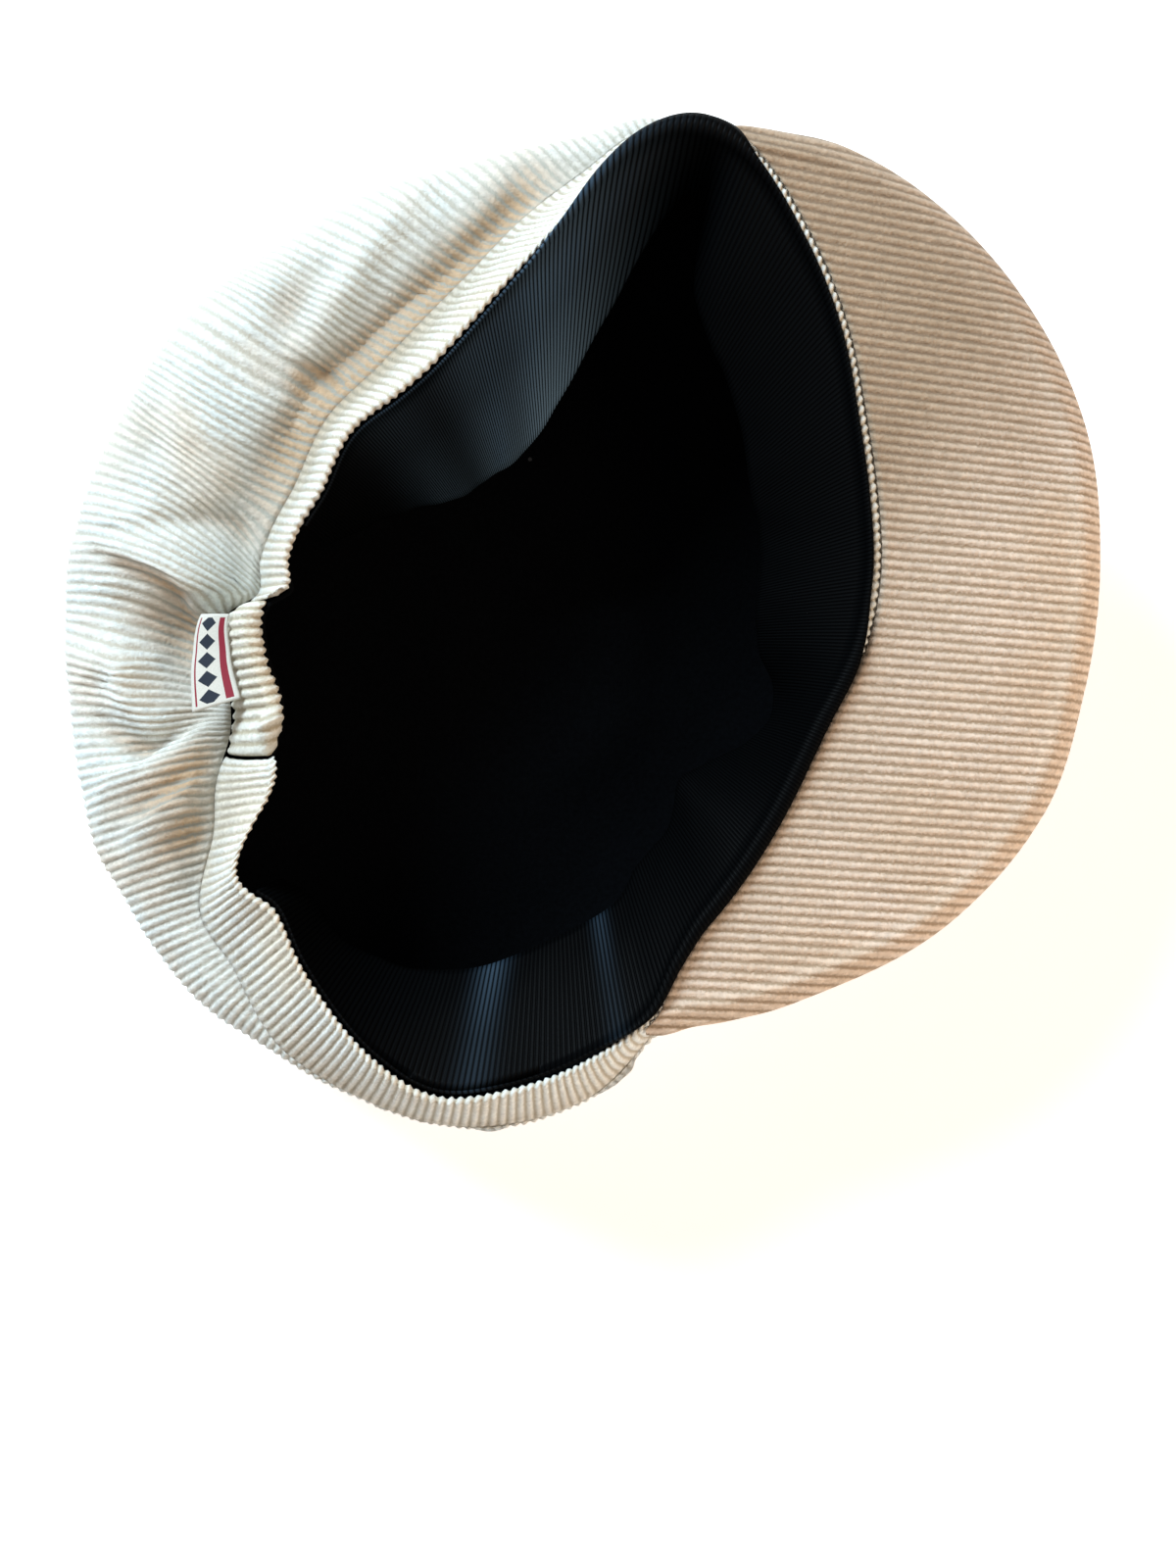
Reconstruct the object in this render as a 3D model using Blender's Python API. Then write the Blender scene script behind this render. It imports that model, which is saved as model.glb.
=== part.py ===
"""Soft corduroy sailor cap with a stiff peak, lying upside down on its crown.

Metres, +Z up.  The cap rests on the flat of its crown, with the head opening
upwards and the peak towards +X.  The origin is on the flat that it rests on.
Every piece is lofted through sections that stand round one upright axis, the
middle of the head opening, and each section's numbers come from the tables.
"""

import math

import bmesh
import bpy
from mathutils import Vector

# Driving dimensions, in metres and degrees
OPENING_X = 0.016          # how far the head opening sits forward of the crown's flat
RIM_REACH = 0.111          # longest reach of the rim from the middle of the opening
CAP_HEIGHT = 0.074         # highest point of the rim above the table
BAND_WIDTH = 0.027         # cloth of the band, from the rolled rim to the crown seam
BAND_LEAN = 48.0           # how far the band leans out at most, from upright
ROLL = 0.0022              # thickness of the rolled rim
CLOTH = 0.0020             # corduroy wall
CROWN_OVERHANG = 0.043     # how far the crown bulges beyond the band seam at most
CROWN_PUFF = 0.22          # rise of the bulge, for each metre that it overhangs
WIDEST_HEIGHT = 0.028      # height of the crown's widest line
FLAT_INSET = 0.042         # how far the resting flat is drawn in from the widest line
RIBBON_WIDTH = 0.032       # sweatband ribbon
RIBBON_CLOTH = 0.0011      # thickness of the ribbon
RIBBON_SAG = 0.07          # how far it sags between its edges, as a share of its width
LINING_CLOTH = 0.0010      # thickness of the knit lining
LINING_EASE = 0.0042       # slack between the crown and its lining
LINING_START = 0.0045      # how far under the rim the lining starts
PEAK_DEPTH = 0.0525        # peak, from the band to its front edge, along the section
PEAK_BOARD = 0.0040        # covered board of the peak
PEAK_SINK = 0.0012         # step from the rolled rim down to the peak
PEAK_DROP = 0.0045         # how far the peak bends down at its front edge
CASING_SWELL = 0.0026      # half the thickness of the elastic casing
CASING_RIPPLE = 0.0007     # how far its gathers stand out
CASING_INWARD = 0.5        # how far it lies inside the band's face, in half thicknesses
CASING_GATHERS = 9         # gathers along the casing
CASING_END = 0.55          # its thickness where it is sewn down at either end, as a share
FOLD_HEIGHT = 0.0070       # tallest fold of the crown
FOLD_WIDTH = 0.0120        # widest fold, from its crest to where it fades
LINING_FOLD = 0.0060       # tallest fold of the lining
LABEL_LENGTH = 0.020       # woven label, along the casing
LABEL_DEPTH = 0.0105       # woven label, out from under the casing
LABEL_CLOTH = 0.0010       # folded ribbon of the label
LABEL_DOWN = 0.45          # how far down the casing it comes out
LABEL_SLOPE = 12.0         # how far it slopes down, in degrees
GAP = 0.00035              # air between neighbouring pieces

# Where the pieces that don't go all the way round begin and end, in degrees
CASING_FROM, CASING_TO = 182.0, 211.5
CASING_FADE = 5.0
RIBBON_FROM, RIBBON_TO = -131.0, 166.0
PEAK_FROM, PEAK_TO = -72.0, 74.0
LABEL_MIDDLE = 192.5

# Columns of the lofts.  Those all the way round stand closer at the gathered back.
ROUND_COLUMNS = 72
CLOSEST_AT = 195.0
CROWDING = 15.0
CASING_COLUMNS = 37
LABEL_COLUMNS = 5

# Turns of the crown's section: from the band seam up to the widest line, and from
# there down to the resting flat.  The two panels meet at the row of SEAM_ROW.
UPPER_TURNS = (0, 14, 30, 48, 68, 90)
LOWER_TURNS = (20, 40, 57, 73, 90)
SEAM_ROW = 7

# One row for each section: its angle from the front, the rim's reach as a share of
# RIM_REACH, its height as a share of CAP_HEIGHT, the band's lean as a share of
# BAND_LEAN, and the crown's bulge as a share of CROWN_OVERHANG.
SECTIONS = (
    # angle, reach, height, lean, bulge
    (0, 0.612, 0.890, 0.45, 0.38),
    (12, 0.636, 0.895, 0.41, 0.38),
    (25, 0.664, 0.905, 0.38, 0.38),
    (37, 0.709, 0.925, 0.39, 0.35),
    (49, 0.785, 0.945, 0.40, 0.30),
    (60, 0.865, 0.965, 0.40, 0.22),
    (71, 0.951, 0.985, 0.36, 0.13),
    (78, 0.960, 1.000, 0.12, 0.13),
    (84, 0.902, 0.993, 0.36, 0.18),
    (91, 0.768, 0.973, 0.48, 0.35),
    (98, 0.672, 0.960, 0.55, 0.50),
    (108, 0.583, 0.945, 0.49, 0.71),
    (119, 0.526, 0.930, 0.45, 0.89),
    (130, 0.506, 0.920, 0.37, 0.97),
    (143, 0.514, 0.900, 0.30, 1.05),
    (157, 0.497, 0.885, 0.28, 1.11),
    (168, 0.513, 0.870, 0.28, 1.10),
    (174, 0.518, 0.860, 0.31, 1.09),
    (180, 0.513, 0.850, 0.34, 1.10),
    (184, 0.569, 0.845, 0.36, 0.94),
    (192, 0.575, 0.838, 0.38, 0.92),
    (204, 0.560, 0.840, 0.58, 0.92),
    (212, 0.600, 0.850, 0.78, 0.79),
    (218, 0.645, 0.860, 0.82, 0.65),
    (225, 0.795, 0.880, 0.60, 0.39),
    (233, 0.793, 0.895, 0.78, 0.33),
    (240, 0.842, 0.905, 0.80, 0.16),
    (244, 0.870, 0.910, 0.76, 0.09),
    (254, 0.940, 0.918, 0.46, 0.05),
    (262, 0.972, 0.920, 0.32, 0.04),
    (270, 0.940, 0.920, 0.38, 0.06),
    (280, 0.880, 0.920, 0.39, 0.05),
    (289, 0.812, 0.915, 0.20, 0.07),
    (295, 0.728, 0.910, 0.34, 0.18),
    (302, 0.669, 0.905, 0.42, 0.28),
    (322, 0.594, 0.895, 0.42, 0.36),
    (341, 0.571, 0.890, 0.42, 0.39),
)

# The ribbon's free edge: how far it lies in from the rim and under it, as shares of
# RIBBON_WIDTH.  It folds over at the left end of the peak, near 76 degrees.
RIBBON_EDGE = (
    # angle, inward, drop
    (-131, 0.06, 1.00),
    (-119, 0.20, 0.96),
    (-110, 0.44, 0.88),
    (-96, 0.84, 0.62),
    (-74, 0.80, 0.62),
    (-57, 0.54, 0.82),
    (-46, 0.66, 0.72),
    (-24, 0.26, 0.95),
    (-14, 0.28, 0.95),
    (-2, 0.60, 0.80),
    (8, 0.70, 0.72),
    (25, 0.70, 0.70),
    (41, 0.80, 0.66),
    (57, 0.86, 0.66),
    (70, 0.84, 0.66),
    (76.5, 0.18, 0.92),
    (84, 1.00, 0.66),
    (95, 1.06, 0.66),
    (106, 0.93, 0.66),
    (118, 0.76, 0.72),
    (141, 0.60, 0.80),
    (155, 0.28, 0.95),
    (166, 0.06, 1.00),
)

# The peak's depth along each section, as a share of PEAK_DEPTH.
PEAK_OUTLINE = (
    # angle, depth
    (-72, 0.03),
    (-61, 0.37),
    (-49, 0.59),
    (-33, 0.855),
    (-17, 1.00),
    (-3, 0.96),
    (11, 0.95),
    (24, 0.945),
    (37, 0.835),
    (51, 0.60),
    (62, 0.36),
    (69, 0.15),
    (74, 0.03),
)

# Folds that stand out of the crown: each crest runs through three places, given by
# angle and by share of the way from the seam to the widest line, with its half width
# as a share of FOLD_WIDTH and its height of FOLD_HEIGHT.  A height under 0 is a dent.
CROWN_FOLDS = (
    # name, places (angle, share), half width, height
    ("long_fold", ((169, 0.16), (170, 0.50), (174, 1.00)), 0.62, 0.72),
    ("lap_fold", ((184, 0.06), (179, 0.36), (173, 0.78)), 0.46, 0.85),
    ("pocket", ((190, 0.26), (187, 0.38), (182, 0.52)), 0.46, -0.60),
    ("soft_fold", ((198.5, 0.32), (193, 0.56), (185, 0.78)), 0.46, 0.60),
    ("pleat_valley", ((200.5, 0.20), (202, 0.50), (199, 0.85)), 0.37, -0.60),
    ("pleat", ((202, 0.08), (204.5, 0.40), (207, 0.72)), 0.42, 0.72),
    ("low_pleat", ((209.5, 0.04), (212, 0.30), (213, 0.56)), 0.37, 0.50),
    ("side_valley", ((98, 0.34), (128, 0.16), (161, 0.10)), 0.50, -0.35),
    ("side_swell", ((104, 0.62), (128, 0.56), (160, 0.52)), 0.92, 0.30),
)

# Soft ridges on the floor of the lining, in the same fields, with the share counted
# from the middle of the floor to the widest line.
LINING_FOLDS = (
    # name, places (angle, share), half width, height
    ("front_ridge", ((28, 0.10), (4, 0.34), (318, 0.40)), 0.83, 1.00),
    ("low_ridge", ((330, 0.62), (300, 0.55), (275, 0.52)), 0.75, 0.80),
    ("back_ridge", ((150, 0.60), (185, 0.35), (225, 0.55)), 1.00, 0.70),
)


def remove_objects():
    for item in list(bpy.data.objects):
        bpy.data.objects.remove(item, do_unlink=True)


def material(name, colour, roughness):
    """A Principled material in linear colour."""
    made = bpy.data.materials.new(name)
    made.use_nodes = True
    shader = made.node_tree.nodes["Principled BSDF"]
    shader.inputs["Base Color"].default_value = (*colour, 1.0)
    shader.inputs["Roughness"].default_value = roughness
    shader.inputs["Metallic"].default_value = 0.0
    made.diffuse_color = (*colour, 1.0)
    return made


def read_table(rows, angle, loops):
    """The row of values at an angle, on a smooth curve through the table's rows."""
    count = len(rows)
    if loops:
        angle = angle % 360.0
        at = max(i for i in range(count) if rows[i][0] <= angle)
        picks = [(at + step) % count for step in (-1, 0, 1, 2)]
        turns = [(at + step) // count for step in (-1, 0, 1, 2)]
    else:
        at = max([i for i in range(count - 1) if rows[i][0] <= angle] or [0])
        picks = [min(max(at + step, 0), count - 1) for step in (-1, 0, 1, 2)]
        turns = [0, 0, 0, 0]
    knots = [rows[pick][0] + 360.0 * turn for pick, turn in zip(picks, turns)]
    span = knots[2] - knots[1]
    share = min(max((angle - knots[1]) / span, 0.0), 1.0)
    values = []
    for column in range(1, len(rows[0])):
        p0, p1, p2, p3 = [rows[pick][column] for pick in picks]
        slope1 = (p2 - p0) / (knots[2] - knots[0]) * span
        slope2 = (p3 - p1) / (knots[3] - knots[1]) * span
        values.append((2 * share**3 - 3 * share**2 + 1) * p1
                      + (share**3 - 2 * share**2 + share) * slope1
                      + (3 * share**2 - 2 * share**3) * p2
                      + (share**3 - share**2) * slope2)
    return values


class Section:
    """The cap cut by the upright half plane at one angle: x is the reach, y the height."""

    def __init__(self, angle):
        reach, height, lean, bulge = read_table(SECTIONS, angle, True)
        self.lean = math.radians(lean * BAND_LEAN)
        self.rim = Vector((reach * RIM_REACH, height * CAP_HEIGHT))
        self.shoulder = self.rim + Vector((ROLL, -ROLL / 2))
        self.face = Vector((math.sin(self.lean), -math.cos(self.lean)))
        self.out = Vector((math.cos(self.lean), math.sin(self.lean)))
        self.seam = self.shoulder + self.face * BAND_WIDTH
        self.bulge = bulge * CROWN_OVERHANG
        self.start = self.seam + self.face * GAP
        self.widest = Vector((self.start.x + self.bulge, WIDEST_HEIGHT))

    def upper(self, turn):
        """The crown from the band seam, at 0 degrees, to its widest line, at 90."""
        swing = math.radians(turn)
        rise = self.start.y - self.widest.y
        return Vector((self.start.x + self.bulge * math.sin(swing),
                       self.widest.y + rise * math.cos(swing)
                       + self.bulge * CROWN_PUFF * math.sin(2 * swing)))

    def lower(self, turn):
        """The crown from its widest line, at 0 degrees, to the resting flat, at 90."""
        swing = math.radians(turn)
        return Vector((self.widest.x - FLAT_INSET * (1 - math.cos(swing)),
                       self.widest.y * (1 - math.sin(swing))))


def inset(path, depth):
    """The path moved to its left by depth, or by a depth for each point."""
    depths = depth if isinstance(depth, list) else [depth] * len(path)
    moved = []
    for i, point in enumerate(path):
        along = path[min(i + 1, len(path) - 1)] - path[max(i - 1, 0)]
        side = Vector((-along.y, along.x)).normalized()
        moved.append(point + side * depths[i])
    return moved


def arc(centre, radius, first, last, count):
    """Points on an arc between two directions, in degrees."""
    turns = [math.radians(first + (last - first) * i / (count - 1)) for i in range(count)]
    return [centre + Vector((math.cos(turn), math.sin(turn))) * radius for turn in turns]


def place(angle, point):
    turn = math.radians(angle)
    return Vector((OPENING_X + point.x * math.cos(turn), point.x * math.sin(turn), point.y))


def spread(first, last, count):
    return [first + (last - first) * i / (count - 1) for i in range(count)]


def distance_to_line(spot, line):
    """Plan distance from a place to a line of places, and the share run along it."""
    nearest = None
    for i in range(len(line) - 1):
        run = line[i + 1] - line[i]
        share = min(max((spot - line[i]).dot(run) / run.length_squared, 0.0), 1.0)
        away = (spot - line[i] - run * share).length
        if nearest is None or away < nearest[0]:
            nearest = (away, (i + share) / (len(line) - 1))
    return nearest


def smooth_line(corners, count):
    """A parabola's points from the first corner to the last, through the middle one."""
    first, middle, last = corners
    bend = middle * 2 - (first + last) / 2
    points = []
    for share in spread(0.0, 1.0, count):
        points.append(first * (1 - share)**2 + bend * 2 * share * (1 - share)
                      + last * share**2)
    return points


def fold_lines(folds, reach_at):
    """Each fold as a smooth plan line with its half width and its height share."""
    lines = []
    for _, places, width, height in folds:
        corners = [place(angle, Vector((reach_at(angle, share), 0))).xy
                   for angle, share in places]
        lines.append((smooth_line(corners, 7), width * FOLD_WIDTH, height))
    return lines


def fold_rise(spot, lines):
    """How far the folds lift the cloth at a place, as a share of the tallest."""
    rise = 0.0
    for line, width, height in lines:
        away, share = distance_to_line(spot, line)
        fade = math.sin(math.pi * min(max(0.12 + 0.76 * share, 0.0), 1.0))
        rise += height * fade * math.exp(-(away / width)**2)
    return rise


def loft(name, angles, loop_at, surface, ring, shift=None):
    """A solid lofted through the closed loops that loop_at gives at each angle.

    A ring joins its last section to its first, and any other loft is capped.
    """
    loops = [loop_at(angle) for angle in angles]
    points = len(loops[0])
    columns = len(loops) + 1 if ring else len(loops)
    mesh = bpy.data.meshes.new(name)
    shape = bmesh.new()
    bmesh.ops.create_grid(shape, x_segments=columns - 1, y_segments=points, size=0.5)
    for vert in shape.verts:
        column = round((vert.co.x + 0.5) * (columns - 1)) % len(loops)
        row = round((vert.co.y + 0.5) * points) % points
        vert.co = place(angles[column], loops[column][row])
        if shift:
            vert.co.z += shift(vert.co.xy, row)
    bmesh.ops.remove_doubles(shape, verts=shape.verts, dist=1e-6)
    rims = [edge for edge in shape.edges if edge.is_boundary]
    if rims:
        bmesh.ops.holes_fill(shape, edges=rims, sides=0)
    bmesh.ops.triangulate(shape, faces=[f for f in shape.faces if len(f.verts) > 4])
    bmesh.ops.recalc_face_normals(shape, faces=shape.faces)
    shape.to_mesh(mesh)
    shape.free()
    mesh.shade_smooth()
    mesh.set_sharp_from_angle(angle=math.radians(50))
    mesh.materials.append(surface)
    made = bpy.data.objects.new(name, mesh)
    bpy.context.collection.objects.link(made)
    return made


def round_angles():
    """Angles all the way round, which every piece shares so that its facets match."""
    even = [360.0 * (i + 0.5) / ROUND_COLUMNS for i in range(ROUND_COLUMNS)]
    return [turn - CROWDING * math.sin(math.radians(turn - CLOSEST_AT)) for turn in even]


def angles_between(first, last):
    """The shared angles from first to last, which may start under 0, with both ends."""
    near = 0.3 * 360.0 / ROUND_COLUMNS
    turns = [angle - full for full in (360.0, 0.0) for angle in round_angles()]
    inside = [angle for angle in turns if first + near < angle < last - near]
    return [first] + inside + [last]


def wall(path, thickness):
    """A closed loop: the outer path, then the same path set in by the thickness."""
    return path + list(reversed(inset(path, -thickness)))


def band_loop(angle):
    """The band from its seam up over the rolled rim and down its inner face."""
    cut = Section(angle)
    roll = arc(cut.rim + Vector((ROLL / 2, -ROLL / 2)), ROLL / 2, 0, 180, 5)
    outer = [cut.seam, cut.seam.lerp(cut.shoulder, 0.5)]
    hem = cut.rim + Vector((0, -ROLL / 2)) + cut.face * ROLL * 2
    inner = [hem,
             cut.shoulder.lerp(cut.seam, 0.55) - cut.out * CLOTH,
             cut.seam - cut.out * CLOTH]
    return outer + roll + inner


def crown_wall(angle):
    """The crown's outer and inner paths, from the band seam to the resting flat."""
    cut = Section(angle)
    outer = [cut.upper(turn) for turn in UPPER_TURNS]
    outer += [cut.lower(turn) for turn in LOWER_TURNS]
    outer.append(Vector((outer[-1].x * 0.55, 0)))
    inner = inset(outer, -CLOTH)
    inner[-2:] = [Vector((point.x, CLOTH)) for point in outer[-2:]]
    return outer, inner


def crown_side_loop(angle):
    """The side panel, from the band seam over the bulge to the top panel's seam."""
    outer, inner = crown_wall(angle)
    return outer[:SEAM_ROW + 1] + list(reversed(inner[:SEAM_ROW + 1]))


def crown_top_loop(angle):
    """The top panel, from its seam round to the resting flat and its middle."""
    outer, inner = [path[SEAM_ROW:] for path in crown_wall(angle)]
    for path in (outer, inner):
        path[0] = path[0] + (path[1] - path[0]).normalized() * GAP
    return outer + [Vector((0, 0)), Vector((0, CLOTH))] + list(reversed(inner))


def ribbon_loop(angle):
    """The ribbon, from the rolled rim in and down to its free edge."""
    cut = Section(angle)
    inward, drop = read_table(RIBBON_EDGE, angle, False)
    top = cut.rim + Vector((-GAP, -ROLL / 4))
    edge = top + Vector((-inward, -drop)) * RIBBON_WIDTH
    sag = Vector((inward, -drop)) * RIBBON_WIDTH * RIBBON_SAG
    path = [top, top.lerp(edge, 1 / 3) - sag, top.lerp(edge, 2 / 3) - sag, edge]
    return wall(path, RIBBON_CLOTH)


def casing_share(angle):
    """1 behind the casing, falling to 0 on either side of it."""
    middle = (CASING_FROM + CASING_TO) / 2
    away = abs((angle - middle + 180) % 360 - 180) - (CASING_TO - CASING_FROM) / 2
    return min(max(1 - away / CASING_FADE, 0.0), 1.0)


def lining_loop(angle):
    """The lining, from under the rim down inside the band and the crown to its floor."""
    cut = Section(angle)
    casing = CASING_SWELL * (1 + CASING_INWARD) + CASING_RIPPLE
    share = casing_share(angle)
    path = []
    for down, wall_depth in ((LINING_START, ROLL), (BAND_WIDTH * 0.6, CLOTH),
                             (BAND_WIDTH + CLOTH, CLOTH)):
        depth = wall_depth + (max(casing, wall_depth) - wall_depth) * share + GAP
        path.append(cut.shoulder + cut.face * down - cut.out * depth)
    shell = [cut.upper(turn) for turn in (14, 48, 80)]
    shell += [cut.lower(turn) for turn in (8, 34, 62)]
    eases = [-CLOTH - GAP - LINING_EASE * share for share in (1, 1, 1, 1, 0.8, 0.3)]
    floor = CLOTH + GAP
    path += [Vector((point.x, max(point.y, floor))) for point in inset(shell, eases)]
    edge = cut.lower(90).x
    path += [Vector((edge * share, floor)) for share in (0.95, 0.64, 0.32)]
    inner = inset(path, -LINING_CLOTH)
    inner[-3:] = [Vector((point.x, floor + LINING_CLOTH)) for point in path[-3:]]
    middle = [Vector((0, floor)), Vector((0, floor + LINING_CLOTH))]
    return path + middle + list(reversed(inner))


def peak_loop(angle):
    """The peak, from its edge at the band out to its front and back underneath."""
    cut = Section(angle)
    depth = read_table(PEAK_OUTLINE, angle, False)[0] * PEAK_DEPTH
    board = min(PEAK_BOARD, depth)
    top = cut.shoulder + Vector((GAP / math.cos(cut.lean), -PEAK_SINK + ROLL / 2))
    top.x += PEAK_SINK * math.tan(cut.lean)
    root = top + cut.face * (board / math.cos(cut.lean))
    bend = PEAK_DROP * (depth / PEAK_DEPTH)**2
    shares = (0.0, 0.3, 0.6, 0.85)
    upper = [top + Vector((depth * share, -bend * share**3)) for share in shares]
    reach = upper[-1].x - root.x
    under = [Vector((root.x + reach * share, point.y - board))
             for share, point in zip((0.0, 0.35, 0.7, 1.0), upper)]
    middle = (upper[-1] + under[-1]) / 2
    nose = depth * (1 - shares[-1])
    front = [middle + Vector((nose * 0.73, board * 0.22)),
             middle + Vector((nose, -bend * 0.3)),
             middle + Vector((nose * 0.73, -board * 0.30))]
    return upper + front + list(reversed(under))


def casing_loop(angle):
    """The gathered elastic casing, a flat tube that takes the band's place."""
    cut = Section(angle)
    phase = (angle - CASING_FROM) / (CASING_TO - CASING_FROM)
    ripple = CASING_RIPPLE * math.cos(2 * math.pi * CASING_GATHERS * phase)
    taper = min(1.0, CASING_END + 3.0 * min(phase, 1 - phase))
    half = (CASING_SWELL + ripple) * taper
    inward = -cut.out * CASING_SWELL * CASING_INWARD
    head = cut.shoulder + cut.face * half + inward
    foot = cut.seam - cut.face * (half + GAP) + inward
    turn = math.degrees(math.atan2(cut.out.y, cut.out.x))
    over = arc(head, half, turn, turn + 180, 6)
    under = arc(foot, half, turn + 180, turn + 360, 6)
    return over + under


def label_loop(angle):
    """The label, out from under the casing and lying on the crown."""
    cut = Section(angle)
    lift = CASING_SWELL * (1 - CASING_INWARD) + CASING_RIPPLE + GAP
    root = cut.shoulder.lerp(cut.seam, LABEL_DOWN) + cut.out * lift
    slope = math.radians(LABEL_SLOPE)
    tip = root + Vector((math.cos(slope), -math.sin(slope))) * LABEL_DEPTH
    return wall([tip, root.lerp(tip, 0.5), root], LABEL_CLOTH)


def crown_reach(angle, share):
    cut = Section(angle)
    return cut.start.x + (cut.widest.x - cut.start.x) * share


def floor_reach(angle, share):
    return Section(angle).lower(90).x * share


def build():
    remove_objects()
    cream = material("corduroy", (0.80, 0.77, 0.68), 0.95)
    warm = material("peak_corduroy", (0.74, 0.63, 0.51), 0.95)
    black = material("black_ribbon", (0.010, 0.010, 0.012), 0.60)
    knit = material("black_knit", (0.006, 0.006, 0.008), 0.95)
    woven = material("label_weave", (0.72, 0.70, 0.64), 0.80)
    creases = fold_lines(CROWN_FOLDS, crown_reach)
    ridges = fold_lines(LINING_FOLDS, floor_reach)
    band_gap = math.degrees(GAP / RIM_REACH) * 2
    ring = round_angles()

    def crease(spot, row):
        """Folds fade to nothing at both seams of the side panel."""
        along = min(row, 2 * SEAM_ROW + 1 - row) / SEAM_ROW
        return FOLD_HEIGHT * fold_rise(spot, creases) * math.sin(math.pi * along**0.6)

    lining_rows = len(lining_loop(0)) // 2

    def ridge(spot, row):
        """Ridges stand on the floor of the lining alone."""
        along = min(row, 2 * lining_rows - 1 - row) / (lining_rows - 1)
        return LINING_FOLD * max(fold_rise(spot, ridges), 0) * max(0.0, 2 * along - 1)

    loft("crown_top", ring, crown_top_loop, cream, True)
    loft("crown_side", ring, crown_side_loop, cream, True, crease)
    loft("band", angles_between(CASING_TO + band_gap - 360, CASING_FROM - band_gap),
         band_loop, cream, False)
    loft("elastic_casing", spread(CASING_FROM, CASING_TO, CASING_COLUMNS),
         casing_loop, cream, False)
    loft("peak", angles_between(PEAK_FROM, PEAK_TO), peak_loop, warm, False)
    loft("sweatband", angles_between(RIBBON_FROM, RIBBON_TO), ribbon_loop, black, False)
    loft("lining", ring, lining_loop, knit, True, ridge)
    reach = Section(LABEL_MIDDLE).seam.x
    half = math.degrees(LABEL_LENGTH / reach) / 2
    loft("label", spread(LABEL_MIDDLE - half, LABEL_MIDDLE + half, LABEL_COLUMNS),
         label_loop, woven, False)


build()
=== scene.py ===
import math

import bmesh
import bpy
import numpy as np
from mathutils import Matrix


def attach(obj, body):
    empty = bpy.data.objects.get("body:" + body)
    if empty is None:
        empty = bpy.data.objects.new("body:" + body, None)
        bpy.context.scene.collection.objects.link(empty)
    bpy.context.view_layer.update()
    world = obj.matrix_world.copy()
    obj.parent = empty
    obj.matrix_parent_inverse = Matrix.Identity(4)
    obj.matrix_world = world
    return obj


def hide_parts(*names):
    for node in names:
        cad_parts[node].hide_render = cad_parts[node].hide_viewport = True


# Corduroy sailor cap lying upside down, metres, +Z up, peak towards +X.
# The cap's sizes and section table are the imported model's, cut far finer here.
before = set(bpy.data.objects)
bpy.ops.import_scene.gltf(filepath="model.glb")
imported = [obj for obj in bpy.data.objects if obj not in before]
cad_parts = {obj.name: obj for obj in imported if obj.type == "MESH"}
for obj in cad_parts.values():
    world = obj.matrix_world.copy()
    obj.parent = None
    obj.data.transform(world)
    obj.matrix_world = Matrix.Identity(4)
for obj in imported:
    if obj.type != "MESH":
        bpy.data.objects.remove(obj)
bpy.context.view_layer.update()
print("packed cap loaded, nodes:", len(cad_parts))

cap = {
    "openingX": 0.016,       # how far the head opening sits forward of the crown's flat
    "rimReach": 0.111,
    "height": 0.074,
    "bandWidth": 0.027,
    "bandLean": 48.0,
    "roll": 0.0022,          # rolled rim
    "cloth": 0.0020,
    "overhang": 0.043,       # crown beyond the band seam
    "puff": 0.22,
    "widestHeight": 0.028,
    "flatInset": 0.042,
    "gap": 0.00035,
    "seamGap": 0.00006,      # the sewn pieces close up at their seams
    "casing": (182.0, 211.5),
    "casingSeam": (181.6, 208.0),    # its ends at the seam, from where they lean with the wales
    "wale": 0.00217,         # from one wale of the corduroy to the next
    "waleDepth": 0.00056,
    "pile": 0.00007,         # how uneven the tips of the pile are
    "span": (-0.12, 0.14),   # where the cap begins and ends from back to front, with some room
}

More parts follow.
